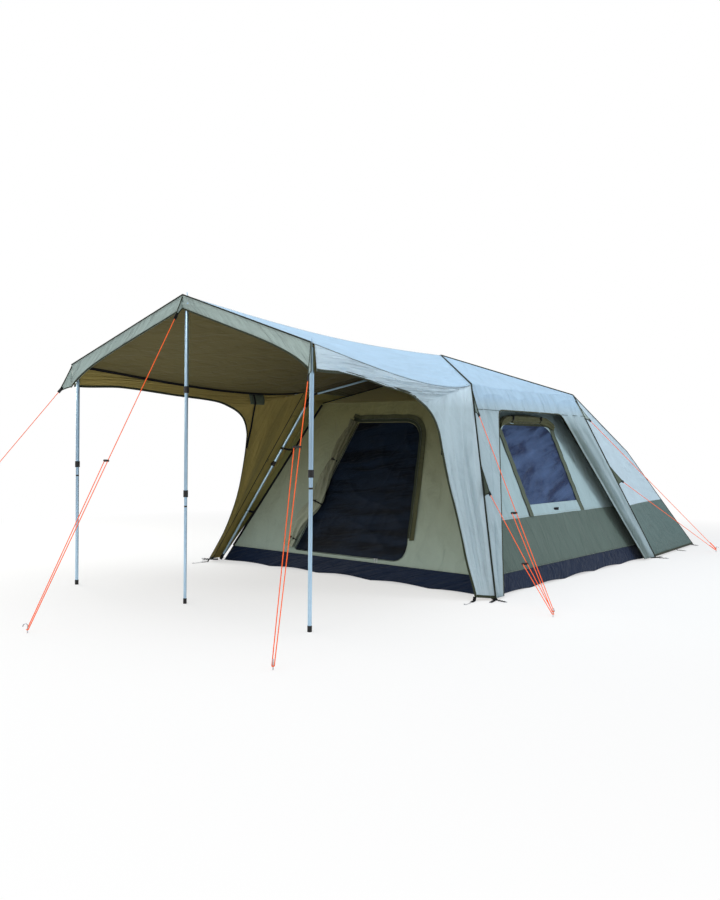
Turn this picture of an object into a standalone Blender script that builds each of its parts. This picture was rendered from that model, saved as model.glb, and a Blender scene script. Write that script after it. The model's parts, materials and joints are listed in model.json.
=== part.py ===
# Touring tent with an instant umbrella frame, a fly with a front awning and a rear lobby.
# Metres, +Z up. The origin is the middle of the cabin floor's underside, the door faces -Y.
import math

import bmesh
import bpy
from mathutils import Matrix, Vector

# Cloth
SKIN = 0.003                 # every panel
SEAM_GAP = 0.0003            # two sewn panels lie this far apart
TRIM_GAP = 0.0003            # a fitted piece lies this far from its seat
WELD = 0.000001              # points closer than this are one

# Umbrella frame
FOOT_HALF = 1.60             # half the distance between two feet
ELBOW_HALF = 0.95
ELBOW_HEIGHT = 1.69
HUB_HEIGHT = 2.065           # of the hub's pins
ARM_RADIUS = 0.0125
LEG_RADIUS = 0.0150          # outer, upper tube
TUBE_WALL = 0.0015
SLIDE_CLEARANCE = 0.0004     # between two telescoping tubes
UPPER_LEG_LENGTH = 0.83      # from the elbow's pin to the collar's lower end
LEG_OVERLAP = 0.26           # length of lower tube inside the upper one
COLLAR_LENGTH = 0.050
COLLAR_RIM = 0.0045          # how far a collar stands proud of its tube
CAP_LENGTH = 0.040
CAP_RIM = 0.0020
HUB_RADIUS = 0.055
HUB_BOSS_HEIGHT = 0.040
HUB_CHAMFER = 0.005
HUB_DOME = 0.020
HUB_DOME_RADIUS = 0.028
TONGUE_THICKNESS = 0.012
TONGUE_LENGTH = 0.045
TONGUE_DEPTH = 0.024
PIN_RADIUS = 0.0035
EAR_THICKNESS = 0.007
EAR_HEIGHT = 0.034
ARM_SETBACK = 0.060          # arm tube short of the elbow's pin
SOCKET_WALL = 0.0050
SOCKET_LENGTH = 0.110
SOCKET_DEPTH = 0.085         # how deep a leg sits in its elbow
ELBOW_TO_SOCKET = 0.030      # from the elbow's pin to the socket's shoulder

# Inner tent, hung inside the frame
FLOOR_CLEAR = 0.03           # floor edge inside the feet
WALL_CLEAR = 0.115           # top of the walls inside the legs
WALL_DROP = 0.09             # top of the walls below the elbows
PEAK_DROP = 0.095            # peak below the hub's pins
TUB_HEIGHT = 0.145

# Fly
FLY_CLEAR = 0.050            # fly outside the frame, sideways
FLY_LIFT = 0.035             # fly above the elbows
PEAK_LIFT = 0.054            # fly's peak above the hub's pins
HEM_HEIGHT = 0.015
ROOF_SAG = 0.030
AWNING_LENGTH = 3.44         # from the origin to the front corners
RIDGE_LENGTH = 3.37          # and to the front end of the ridge
AWNING_HALF = 1.36           # half the awning's width at the front
AWNING_EAVE_HEIGHT = 1.83
AWNING_PEAK_HEIGHT = 2.28
RIDGE_SAG = 0.065
EAVE_SAG = 0.085
VALANCE_DEPTH = 0.105
VALANCE_CORNER_DEPTH = 0.190
WING_GAP = 0.0006            # from a leg seam to a wing, whose skin turns there
WING_FOLD = 0.014            # depth of the folds that a wing hangs in
WING_FOLD_COUNT = 3
STRIP_FRONT_TOP = 0.42       # cloth left between a leg seam and the side opening
STRIP_FRONT_FOOT = 0.13
STRIP_REAR_TOP = 0.52
STRIP_REAR_FOOT = 0.28
OPENING_DROP = 0.220         # side opening below the eave
OPENING_ROUND = 0.055
LOBBY_TOP_HALF = 1.02
LOBBY_TOP_HEIGHT = 1.12
LOBBY_TOP_DEPTH = 1.42       # behind the rear elbows' seam
LOBBY_HEM_HALF = 1.56
LOBBY_HEM_DEPTH = 1.48       # behind the rear feet's seam
HOOP_RADIUS = 0.0095
HOOP_BEND_COUNT = 5          # bends of the hoop's legs, which follow the seam
HOOP_CORNER = 0.22

# Awning poles
POLE_INSET = 0.040           # behind the front edge
POLE_SIDE_INSET = 0.030      # side poles inside the eaves
POLE_RADIUS = 0.0150
POLE_SHOULDER = 0.024        # pole head below the canvas
SPIKE_RADIUS = 0.0040
SPIKE_LENGTH = 0.055
EYELET_CLEAR = 0.0006
SIDE_COLLAR_HEIGHT = 0.98
CENTRE_COLLAR_LOW = 0.79
CENTRE_COLLAR_HIGH = 1.56
POLE_OVERLAP = 0.16

# Door, windows and hatch
SILL_RISE = 0.035            # door and hatch sills above the tub
DOOR_TOP_DROP = 0.20         # below the top of the walls
DOOR_SILL_LEFT = 0.645       # from the middle to the mesh's corners
DOOR_TOP_LEFT = 0.305
DOOR_SILL_RIGHT = 0.66
DOOR_TOP_RIGHT = 0.44
DOOR_SILL_ROUND = 0.12
DOOR_TOP_ROUND = 0.16
DOOR_CLEARANCE = 0.0009      # its lower hinge corner turns 0.8 mm past its seat
DOOR_HINGE_GAP = 0.0040      # room for the door's edge to turn in
ROLL_WIDTH = 0.115           # outer door, rolled and tied back
ROLL_DEPTH = 0.036
ROLL_FOLD = 0.008
ROLL_FOLD_COUNT = 11
ROLL_TIE_SHARES = (0.06, 0.36, 0.68, 0.94)
WINDOW_SILL_HEIGHT = 0.655
WINDOW_TOP_DROP = 0.215
WINDOW_HALF = 0.50
WINDOW_OFFSET = 0.03         # towards the rear
WINDOW_ROUND = 0.15
FLAP_ROLL_RADIUS = 0.026
FLAP_ROLL_HALF = 0.40
FLAP_ROLL_RISE = 0.075       # above the window
FLAP_SEAT_SHARE = 0.9        # of the roll's radius, from the wall to its middle
FLAP_WAIST_SHARES = (0.72, 0.95, 0.74, 1.0, 0.98, 1.0, 0.74, 0.95, 0.72)
HATCH_HALF = 0.55
HATCH_TOP_DROP = 0.35
HATCH_ROUND = 0.18

# Guy ropes, tabs, runners and pegs
ROPE_RADIUS = 0.0030
ROPE_LOOP = 0.018            # half the distance between the two runs at the runner
ROPE_TURN_COUNT = 6
ROPE_TAIL = 0.12
RUNNER_HALF = 0.027
RUNNER_THICKNESS = 0.010
RUNNER_DEPTH = 0.016
RUNNER_ROUND = 0.006
RUNNER_BORE = 0.0036
PEG_RADIUS = 0.0032
PEG_HEIGHT = 0.060
PEG_HOOK = 0.016
PEG_CLEARANCE = 0.0004
TURN_LOW_SHARE = 0.35        # of the peg's height, where a rope turns round it
TURN_HIGH_SHARE = 0.62
TAB_LENGTH = 0.160
TAB_HALF = 0.075             # half the seam of a sewn tab
TAB_SEAT = 0.012             # from a leg seam to the tab's seam
TAB_TIP_HALF = 0.006
CORNER_TAB_LENGTH = 0.150
RIDGE_TAB_LENGTH = 0.130
TAB_HIGH_HEIGHT = 1.57
TAB_LOW_HEIGHT = 0.90
LEFT_PEG_OUT = 0.96          # from an awning corner to its peg
LEFT_PEG_AHEAD = 0.98
RIGHT_PEG_OUT = 0.444
RIGHT_PEG_AHEAD = 0.749
RIDGE_PEG_OUT = 0.047
RIDGE_PEG_AHEAD = 1.227
FRONT_PEG_OUT = 0.674        # from a foot to its peg
FRONT_PEG_AHEAD = 0.327
REAR_PEG_OUT = 0.378
REAR_PEG_BEHIND = 1.051
LEFT_RUNNER_SHARE = 0.39     # of the way from tab to peg
RIDGE_RUNNER_SHARE = 0.50
RIGHT_RUNNER_SHARE = 0.27
HIGH_RUNNER_SHARE = 0.55
LOW_RUNNER_SHARE = 0.62

# Shares of the awning's depth: how far the free edge of a wing lies from the seam it hangs on.
# Each row is the place on the seam (0 foot, 1 elbow, 2 awning corner), then out, ahead and up.
WING_EDGE_SHARES = (
    (0.00, -0.041, 0.057, 0.006),
    (0.16, -0.052, 0.071, 0.000),
    (0.28, -0.052, 0.087, 0.000),
    (0.40, -0.049, 0.113, 0.000),
    (0.54, -0.041, 0.152, 0.000),
    (0.67, -0.026, 0.189, -0.004),
    (0.80, -0.004, 0.230, -0.022),
    (0.92, 0.020, 0.290, -0.048),
    (1.00, 0.038, 0.362, -0.076),
    (1.12, 0.028, 0.285, -0.048),
    (1.30, 0.015, 0.171, -0.034),
    (1.55, 0.005, 0.085, -0.035),
    (1.80, 0.006, 0.030, -0.043),
    (2.00, 0.010, 0.000, -0.070),
)
WING_END_SHARE = 0.985       # of the eave, where a wing's seam stops short of the awning corner

CORNERS = {
    "front_left": (-1, -1),
    "front_right": (1, -1),
    "rear_left": (-1, 1),
    "rear_right": (1, 1),
}

CANOPY_ROW_COUNT = 8
VALANCE_ROW_COUNT = 2
CANOPY_SHARE = CANOPY_ROW_COUNT / (CANOPY_ROW_COUNT + VALANCE_ROW_COUNT)
LOBBY_COLUMN_COUNT = 12
LOBBY_SIDE_SHARE = 1 / 3

# Sizes and places that follow from those above
UP = Vector((0, 0, 1))
FLY_FOOT = FOOT_HALF + FLY_CLEAR
FLY_EAVE = ELBOW_HALF + FLY_CLEAR
EAVE_HEIGHT = ELBOW_HEIGHT + FLY_LIFT
PEAK = Vector((0, 0, HUB_HEIGHT + PEAK_LIFT))
AWNING_DEPTH = AWNING_LENGTH - FLY_EAVE
POLE_HALF = AWNING_HALF - POLE_SIDE_INSET
POLE_FRONT = -AWNING_LENGTH + POLE_INSET
CENTRE_POLE_FRONT = -RIDGE_LENGTH + POLE_INSET
FLOOR_HALF = FOOT_HALF - FLOOR_CLEAR
WALL_TOP_HEIGHT = ELBOW_HEIGHT - WALL_DROP
WALL_TOP_HALF = FOOT_HALF + (ELBOW_HALF - FOOT_HALF) * WALL_TOP_HEIGHT / ELBOW_HEIGHT - WALL_CLEAR
INNER_PEAK_HEIGHT = HUB_HEIGHT - PEAK_DROP
WALL_LEAN = (FLOOR_HALF - WALL_TOP_HALF) / WALL_TOP_HEIGHT
WALL_SLOPE = math.hypot(1, WALL_LEAN)
DOOR_TOP_HEIGHT = WALL_TOP_HEIGHT - DOOR_TOP_DROP
DOOR_SILL_HEIGHT = TUB_HEIGHT + SILL_RISE
WINDOW_TOP_HEIGHT = WALL_TOP_HEIGHT - WINDOW_TOP_DROP
LOBBY_TOP_BACK = FLY_EAVE + LOBBY_TOP_DEPTH
LOBBY_HEM_BACK = FLY_FOOT + LOBBY_HEM_DEPTH

for stale in list(bpy.data.objects):
    bpy.data.objects.remove(stale, do_unlink=True)

tent = bpy.data.collections.new("touring_tent")
tools = bpy.data.collections.new("cutters")
bpy.context.scene.collection.children.link(tent)
bpy.context.scene.collection.children.link(tools)


def finish_of(name, colour, roughness, metallic=0.0):
    paint = bpy.data.materials.new(name)
    paint.use_nodes = True
    shader = paint.node_tree.nodes["Principled BSDF"]
    shader.inputs["Base Color"].default_value = (*colour, 1)
    shader.inputs["Roughness"].default_value = roughness
    shader.inputs["Metallic"].default_value = metallic
    return paint


FLY_CANVAS = finish_of("fly_canvas", (0.43, 0.52, 0.55), 0.85)
ROOF_CANVAS = finish_of("roof_canvas", (0.47, 0.60, 0.70), 0.80)
KHAKI_CANVAS = finish_of("inner_wall", (0.20, 0.21, 0.13), 0.88)
GREY_CANVAS = finish_of("inner_side_wall", (0.42, 0.50, 0.50), 0.88)
VINYL = finish_of("floor_vinyl", (0.018, 0.026, 0.055), 0.55)
DOOR_MESH = finish_of("door_mesh", (0.015, 0.020, 0.035), 0.70)
WINDOW_MESH = finish_of("window_mesh", (0.045, 0.080, 0.210), 0.70)
ALLOY = finish_of("alloy_tube", (0.70, 0.72, 0.74), 0.30, 1.0)
NYLON = finish_of("black_nylon", (0.015, 0.015, 0.017), 0.45)
CORD = finish_of("orange_cord", (0.85, 0.16, 0.06), 0.75)
STEEL = finish_of("peg_steel", (0.55, 0.56, 0.57), 0.35, 1.0)


def link(thing, paint):
    thing.data.materials.append(paint)
    tent.objects.link(thing)
    return thing


def mesh_object(name, work, paint):
    mesh = bpy.data.meshes.new(name)
    work.to_mesh(mesh)
    work.free()
    return link(bpy.data.objects.new(name, mesh), paint)


def baked(source, name, paint):
    """The evaluated mesh of an object with welded caps, as a new object in its place."""
    bpy.context.view_layer.update()
    graph = bpy.context.evaluated_depsgraph_get()
    mesh = bpy.data.meshes.new_from_object(source.evaluated_get(graph))
    mesh.materials.clear()
    work = bmesh.new()
    work.from_mesh(mesh)
    bmesh.ops.remove_doubles(work, verts=work.verts, dist=WELD)
    bmesh.ops.recalc_face_normals(work, faces=work.faces)
    work.to_mesh(mesh)
    work.free()
    piece = link(bpy.data.objects.new(name, mesh), paint)
    piece.matrix_world = source.matrix_world
    bpy.data.objects.remove(source, do_unlink=True)
    return piece


def combine(thing, other, operation):
    tent.objects.unlink(other)
    tools.objects.link(other)
    other.hide_render = True
    other.display_type = "WIRE"
    step = thing.modifiers.new(operation.lower(), "BOOLEAN")
    step.operation = operation
    step.solver = "EXACT"
    step.object = other
    return thing


def thicken(panel, offset=1):
    skin = panel.modifiers.new("skin", "SOLIDIFY")
    skin.thickness = SKIN
    skin.offset = offset
    skin.use_even_offset = True
    return panel


def grid(work, columns, rows, place):
    """A grid laid over place(u, v), with u and v from 0 to 1."""
    made = bmesh.ops.create_grid(work, x_segments=columns, y_segments=rows, size=1)
    for vert in made["verts"]:
        vert.co = place((vert.co.x + 1) / 2, (vert.co.y + 1) / 2)


def cloth(name, columns, rows, place, outward, paint):
    """A panel over place(u, v), thickened on the side that outward points to."""
    work = bmesh.new()
    grid(work, columns, rows, place)
    bmesh.ops.remove_doubles(work, verts=work.verts, dist=WELD)
    face_outward(work, outward)
    panel = mesh_object(name, work, paint)
    panel.data.shade_smooth()
    return thicken(panel)


def face_outward(work, outward):
    bmesh.ops.recalc_face_normals(work, faces=work.faces)
    lean = sum(face.normal.dot(outward(face.calc_center_median())) * face.calc_area() for face in work.faces)
    if lean < 0:
        bmesh.ops.reverse_faces(work, faces=work.faces)


def rounded(points, radii, steps=6):
    """A closed outline with each corner rounded to its radius."""
    outline = []
    for index, here in enumerate(points):
        corner, radius = Vector(here), radii[index]
        if radius == 0:
            outline.append(corner)
            continue
        before = (Vector(points[index - 1]) - corner).normalized()
        after = (Vector(points[(index + 1) % len(points)]) - corner).normalized()
        half = before.angle(after) / 2
        centre = corner + (before + after).normalized() * radius / math.sin(half)
        start = corner + before * radius / math.tan(half) - centre
        end = corner + after * radius / math.tan(half) - centre
        for step in range(steps + 1):
            outline.append(centre + start.slerp(end, step / steps) * radius)
    return outline


def circle(centre, radius, steps):
    """A circle whose flats, not its corners, lie at the radius."""
    reach = radius / math.cos(math.pi / steps)
    turns = [2 * math.pi * (step + 0.5) / steps for step in range(steps)]
    return [Vector(centre) + Vector((math.cos(turn), math.sin(turn))) * reach for turn in turns]


def plate(name, outlines, frame, paint, thickness=SKIN):
    """A flat piece from outlines in its own plane, its back face on the plane."""
    flat = bpy.data.curves.new(name, "CURVE")
    flat.dimensions = "2D"
    flat.fill_mode = "BOTH"
    flat.extrude = thickness / 2
    for outline in outlines:
        line = flat.splines.new("POLY")
        line.points.add(len(outline) - 1)
        line.use_cyclic_u = True
        for point, place in zip(line.points, outline):
            point.co = (place[0], place[1], 0, 1)
    sheet = bpy.data.objects.new(name + "_outline", flat)
    sheet.matrix_world = frame @ Matrix.Translation((0, 0, thickness / 2))
    tent.objects.link(sheet)
    return baked(sheet, name, paint)


def turned(name, profile, start, along, paint, steps=16):
    """A profile of (radius, distance) points turned about the line from start along a direction."""
    mesh = bpy.data.meshes.new(name)
    pairs = [(index, (index + 1) % len(profile)) for index in range(len(profile))]
    edges = [(a, b) for a, b in pairs if profile[a][0] + profile[b][0] > 0]
    mesh.from_pydata([(radius, 0, reach) for radius, reach in profile], edges, [])
    piece = link(bpy.data.objects.new(name, mesh), paint)
    piece.rotation_mode = "QUATERNION"
    piece.rotation_quaternion = Vector(along).to_track_quat("Z", "Y")
    piece.location = start
    spin = piece.modifiers.new("turn", "SCREW")
    spin.steps = steps
    spin.render_steps = steps
    spin.use_merge_vertices = True
    spin.merge_threshold = WELD
    return piece


def rod(name, points, radius, paint, swell_shares=None):
    """A round rod or cord along a list of points."""
    line = bpy.data.curves.new(name, "CURVE")
    line.dimensions = "3D"
    line.bevel_depth = radius
    line.bevel_resolution = 2
    line.use_fill_caps = True
    run = line.splines.new("POLY")
    run.points.add(len(points) - 1)
    for index, place in enumerate(points):
        run.points[index].co = (*place, 1)
        run.points[index].radius = swell_shares[index] if swell_shares else 1
    return link(bpy.data.objects.new(name, line), paint)


def block(name, size, frame, paint):
    work = bmesh.new()
    bmesh.ops.create_cube(work, size=1)
    bmesh.ops.scale(work, vec=size, verts=work.verts)
    piece = mesh_object(name, work, paint)
    piece.matrix_world = frame
    return piece


def frame_at(origin, across, along):
    """A frame whose X runs across and whose Y runs nearest along."""
    x = Vector(across).normalized()
    z = x.cross(Vector(along)).normalized()
    turn = Matrix((x, z.cross(x), z)).transposed().to_4x4()
    return Matrix.Translation(origin) @ turn


def smooth_row(rows, t):
    """The row of a table at t, on a smooth curve through its rows."""
    last = len(rows) - 1
    index = max(i for i in range(last) if rows[i][0] <= t or i == 0)
    near = [rows[min(max(index + shift, 0), last)] for shift in (-1, 0, 1, 2)]
    step = (t - near[1][0]) / (near[2][0] - near[1][0])
    weights = (
        -0.5 * step + step ** 2 - 0.5 * step ** 3,
        1 - 2.5 * step ** 2 + 1.5 * step ** 3,
        0.5 * step + 2 * step ** 2 - 1.5 * step ** 3,
        -0.5 * step ** 2 + 0.5 * step ** 3,
    )
    return [sum(w * row[k] for w, row in zip(weights, near)) for k in range(1, len(rows[0]))]


def blend(a, b, t):
    return a + (b - a) * t


def flip(place, side=-1):
    return Vector((side * place[0], place[1], place[2]))


def leg_seam(side, end, t):
    """A leg seam of the fly: t is 0 at the hem, 1 at the eave corner."""
    foot = Vector((side * FLY_FOOT, end * FLY_FOOT, HEM_HEIGHT))
    eave = Vector((side * FLY_EAVE, end * FLY_EAVE, EAVE_HEIGHT))
    return blend(foot, eave, t)


def seam_at_height(side, end, height):
    return leg_seam(side, end, (height - HEM_HEIGHT) / (EAVE_HEIGHT - HEM_HEIGHT))


def awning_eave(side, t):
    """The awning's eave: t is 0 at the elbow, 1 at the front corner."""
    corner = Vector((side * AWNING_HALF, -AWNING_LENGTH, AWNING_EAVE_HEIGHT))
    line = blend(leg_seam(side, -1, 1), corner, t)
    line.z -= EAVE_SAG * math.sin(math.pi * t ** 0.7)
    return line


def awning_ridge(t):
    line = blend(PEAK, Vector((0, -RIDGE_LENGTH, AWNING_PEAK_HEIGHT)), t)
    line.z -= RIDGE_SAG * math.sin(math.pi * t)
    return line


def canopy_height(x, y):
    """Height of the canopy's underside above a point."""
    along = 1.0
    for _ in range(30):
        eave = awning_eave(1, along)
        here = blend(awning_ridge(along), eave, min(abs(x) / eave.x, 1))
        along = min(max(along + (here.y - y) / AWNING_DEPTH, 0), 1)
    return here.z


def up(place):
    return Vector((0, -place.z / 4, place.z))


def away(place):
    return Vector((place.x, place.y, abs(place.z)))


# Fly
def awning_place(u, v):
    """Two slopes from the ridge to the eaves, then the valance along the front."""
    side = -1 if u < 0.5 else 1
    out = abs(2 * u - 1)
    seam = 2 * SEAM_GAP / AWNING_DEPTH
    along = seam + min(v / CANOPY_SHARE, 1) * (1 - seam)
    place = blend(awning_ridge(along), awning_eave(side, along), out)
    place.x *= 1 - SEAM_GAP / AWNING_HALF
    hang = max(v - CANOPY_SHARE, 0) / (1 - CANOPY_SHARE)
    place.z -= hang * blend(VALANCE_DEPTH, VALANCE_CORNER_DEPTH, out ** 8)
    return place


def make_awning():
    sheet = cloth("awning_sheet", 16, CANOPY_ROW_COUNT + VALANCE_ROW_COUNT, awning_place, up, ROOF_CANVAS)
    canopy = baked(sheet, "fly_awning", ROOF_CANVAS)
    hole = SPIKE_RADIUS + EYELET_CLEAR
    for x, y in ((-POLE_HALF, POLE_FRONT), (0, CENTRE_POLE_FRONT), (POLE_HALF, POLE_FRONT)):
        height = canopy_height(x, y)
        low, high = height - SPIKE_LENGTH, height + SPIKE_LENGTH
        profile = [(0, high), (hole, high), (hole, low), (0, low)]
        combine(canopy, turned("eyelet", profile, (x, y, 0), UP, NYLON, 12), "DIFFERENCE")
    for side in (-1, 1):
        base, tip = corner_tab(side)
        combine(canopy, tab("corner_tab", base, tip, UP, VALANCE_CORNER_DEPTH / 3), "UNION")
    base, tip = ridge_tab()
    combine(canopy, tab("ridge_tab", base, tip, UP, VALANCE_DEPTH / 3), "UNION")
    return canopy


def tab(name, base, tip, seam, half):
    """A sewn tab, from its seam in the cloth at base to its narrow tip."""
    run = Vector(tip) - Vector(base)
    frame = frame_at(base, run, seam)
    sewn = frame.to_3x3().transposed() @ Vector(seam).normalized() * half
    outline = [-sewn.xy, (run.length, -TAB_TIP_HALF), (run.length, TAB_TIP_HALF), sewn.xy]
    return plate(name, [outline], frame @ Matrix.Translation((0, 0, -SKIN / 2)), FLY_CANVAS)


def tab_tip(base, peg, length):
    return base + (peg - base).normalized() * length


def corner_tab(side):
    """Seam and tip of the tab at an awning corner."""
    middle = AWNING_EAVE_HEIGHT - VALANCE_CORNER_DEPTH / 2
    base = Vector((side * (AWNING_HALF - SKIN), -AWNING_LENGTH - SKIN / 2, middle))
    return base, tab_tip(base, PEGS["awning_left" if side < 0 else "awning_right"], CORNER_TAB_LENGTH)


def ridge_tab():
    base = Vector((0, -RIDGE_LENGTH - SKIN / 2, AWNING_PEAK_HEIGHT - VALANCE_DEPTH / 2))
    return base, tab_tip(base, PEGS["awning_ridge"], RIDGE_TAB_LENGTH)


def leg_tab(side, end, height):
    """Seam and tip of a tab beside a leg seam."""
    out = Vector((EAVE_HEIGHT - HEM_HEIGHT, 0, FLY_FOOT - FLY_EAVE)).normalized() * SKIN / 2
    base = seam_at_height(1, end, height) - Vector((0, end * TAB_SEAT, 0)) + out
    tip = tab_tip(base, PEGS["front" if end < 0 else "rear"], TAB_LENGTH)
    return flip(base, side), flip(tip, side)


def roof_place(u, v):
    """Three sloping faces: u runs round the eaves, v from the eave to the peak."""
    corners = [leg_seam(*corner, 1) for corner in ((1, -1), (1, 1), (-1, 1), (-1, -1))]
    edge = SEAM_GAP / FLY_EAVE
    run = (edge + u * (1 - 2 * edge)) * 3
    index = min(int(run), 2)
    step = run - index
    rise = edge + v * (1 - edge)
    place = blend(blend(corners[index], corners[index + 1], step), PEAK + Vector((0, SEAM_GAP, 0)), rise)
    place.z -= ROOF_SAG * 16 * step * (1 - step) * v * (1 - v) ** 2
    return place


def wing_place(side):
    """Cloth hung from a leg seam and the awning's eave, in folds that run down to the foot."""
    def place(u, v):
        seat = WING_EDGE_SHARES[-1][0] * u
        if seat < 1:
            seam = leg_seam(side, -1, seat)
        else:
            seam = awning_eave(side, (seat - 1) * WING_END_SHARE)
            seam += (leg_seam(side, -1, 0) - leg_seam(side, -1, 1)) * SKIN / (EAVE_HEIGHT - HEM_HEIGHT)
        seam.y -= WING_GAP
        out, ahead, rise = [AWNING_DEPTH * share for share in smooth_row(WING_EDGE_SHARES, seat)]
        here = blend(seam, seam + Vector((side * out, -ahead, rise)), v)
        hang = max(math.sin(math.pi * min(seat, 1)), 0) ** 0.7
        square = Vector((side * ahead, out, 0)).normalized()
        return here + square * WING_FOLD * hang * math.sin(math.pi * WING_FOLD_COUNT * v)
    return place


def side_outline():
    """Side cover in its own plane: X is world Y, Y runs up the slope from the hem."""
    rise = EAVE_HEIGHT - HEM_HEIGHT
    slope = math.hypot(rise, FLY_FOOT - FLY_EAVE)
    gate_height = EAVE_HEIGHT - OPENING_DROP

    def reach(height):
        return blend(FLY_FOOT, FLY_EAVE, (height - HEM_HEIGHT) / rise) - SEAM_GAP

    hem, gate, top = 0, (gate_height - HEM_HEIGHT) / rise * slope, slope - SEAM_GAP
    outline = [
        (-reach(HEM_HEIGHT), hem),
        (-reach(HEM_HEIGHT) + STRIP_FRONT_FOOT, hem),
        (-reach(gate_height) + STRIP_FRONT_TOP, gate),
        (reach(gate_height) - STRIP_REAR_TOP, gate),
        (reach(HEM_HEIGHT) - STRIP_REAR_FOOT, hem),
        (reach(HEM_HEIGHT), hem),
        (reach(EAVE_HEIGHT), top),
        (-reach(EAVE_HEIGHT), top),
    ]
    return rounded(outline, [0, 0, OPENING_ROUND, OPENING_ROUND, 0, 0, 0, 0], 3)


def make_side(side, name):
    base = Vector((side * FLY_FOOT, 0, HEM_HEIGHT))
    slope = Vector((side * (FLY_EAVE - FLY_FOOT), 0, EAVE_HEIGHT - HEM_HEIGHT))
    frame = frame_at(base, (0, 1, 0), slope)
    if side < 0:
        frame = frame @ Matrix.Translation((0, 0, -SKIN))
    cover = plate(f"fly_side_{name}", [side_outline()], frame, FLY_CANVAS)
    for end in (-1, 1):
        for height in (TAB_HIGH_HEIGHT, TAB_LOW_HEIGHT):
            base, tip = leg_tab(side, end, height)
            along = leg_seam(side, end, 1) - leg_seam(side, end, 0)
            combine(cover, tab("leg_tab", base, tip, along, TAB_HALF), "UNION")
    return cover


def lobby_profile(u, s):
    """Section of the lobby: u runs from the right hem over the top to the left hem."""
    foot = blend(leg_seam(1, 1, 0), Vector((LOBBY_HEM_HALF, LOBBY_HEM_BACK, HEM_HEIGHT)), s)
    top = blend(leg_seam(1, 1, 1), Vector((LOBBY_TOP_HALF, LOBBY_TOP_BACK, LOBBY_TOP_HEIGHT)), s)
    if u <= LOBBY_SIDE_SHARE:
        return blend(foot, top, u / LOBBY_SIDE_SHARE)
    if u >= 1 - LOBBY_SIDE_SHARE:
        return flip(blend(foot, top, (1 - u) / LOBBY_SIDE_SHARE))
    return blend(top, flip(top), (u - LOBBY_SIDE_SHARE) / (1 - 2 * LOBBY_SIDE_SHARE))


def make_lobby():
    """Sides and roof as one grid, the rear face as another, welded along the hoop."""
    start = 2 * SEAM_GAP / LOBBY_HEM_DEPTH
    work = bmesh.new()
    grid(work, LOBBY_COLUMN_COUNT, 5, lambda u, v: lobby_profile(u, blend(start, 1, v)))
    thirds = LOBBY_COLUMN_COUNT // 3

    def rear(u, v):
        right = lobby_profile(v * LOBBY_SIDE_SHARE, 1)
        return blend(right, flip(right), u)

    grid(work, thirds, thirds, rear)
    bmesh.ops.remove_doubles(work, verts=work.verts, dist=SEAM_GAP)
    face_outward(work, lambda place: place - Vector((0, FLY_FOOT, 0)))
    return thicken(mesh_object("fly_rear", work, FLY_CANVAS))


def inside_seam(share):
    """The hoop's centre inside the seam of the lobby's side or roof with its rear face."""
    step = 0.01
    here = lobby_profile(share, 1)
    along = (lobby_profile(share + step, 1) - here).normalized()
    skin = along.cross(here - lobby_profile(share, 1 - step)).normalized()
    if skin.dot(here - Vector((0, FLY_FOOT, 0))) < 0:
        skin = -skin
    fall, slant = LOBBY_TOP_HEIGHT - HEM_HEIGHT, LOBBY_HEM_BACK - LOBBY_TOP_BACK
    rear = Vector((0, fall, slant)).normalized()
    depth = HOOP_RADIUS + TRIM_GAP
    return here + Matrix((skin, rear, along)).inverted() @ Vector((-depth, -depth, 0))


def make_hoop():
    """The lobby's hoop, close inside the seam between its sides and its rear face."""
    legs = [inside_seam(LOBBY_SIDE_SHARE * step / HOOP_BEND_COUNT) for step in range(HOOP_BEND_COUNT)]
    rise = (legs[-1] - legs[-2]).normalized()
    level = inside_seam(1 / 2)
    corner = legs[-1] + rise * (level.z - legs[-1].z) / rise.z
    base = HOOP_RADIUS * rise.to_2d().length + TRIM_GAP
    foot = legs[0] - rise * (legs[0].z - base) / rise.z
    points = [foot] + legs[1:-1]
    start, end = corner - rise * HOOP_CORNER, corner - Vector((HOOP_CORNER, 0, 0))
    for step in range(HOOP_BEND_COUNT + 1):
        t = step / HOOP_BEND_COUNT
        points.append(start * (1 - t) ** 2 + corner * 2 * t * (1 - t) + end * t ** 2)
    return rod("rear_hoop", points + [flip(point) for point in reversed(points)], HOOP_RADIUS, ALLOY)


# Inner tent
def wall_half(height):
    return FLOOR_HALF - WALL_LEAN * height


def on_wall(across, height):
    """A point of a leaning wall in the wall's own plane."""
    return Vector((across, height * WALL_SLOPE))


def wall_frame(turn):
    """The plane of a wall: turn 0 is the front, its back face inside the tent."""
    frame = frame_at((0, -FLOOR_HALF, 0), (1, 0, 0), (0, WALL_LEAN, 1))
    return Matrix.Rotation(turn, 4, "Z") @ frame


def wall_outline():
    low, high = TUB_HEIGHT + SEAM_GAP, WALL_TOP_HEIGHT - SEAM_GAP
    wide, narrow = wall_half(low) - SEAM_GAP, wall_half(high) - SEAM_GAP
    return [on_wall(-wide, low), on_wall(wide, low), on_wall(narrow, high), on_wall(-narrow, high)]


def door_outline(hinge, edge):
    """The doorway, its left side drawn in by hinge and its other sides by edge."""
    low, high = DOOR_SILL_HEIGHT + edge, DOOR_TOP_HEIGHT - edge
    points = [
        on_wall(-DOOR_SILL_LEFT + hinge, low),
        on_wall(DOOR_SILL_RIGHT - edge, low),
        on_wall(DOOR_TOP_RIGHT - edge, high),
        on_wall(-DOOR_TOP_LEFT + hinge, high),
    ]
    return rounded(points, [0, DOOR_SILL_ROUND - edge, DOOR_TOP_ROUND - edge, 0])


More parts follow.
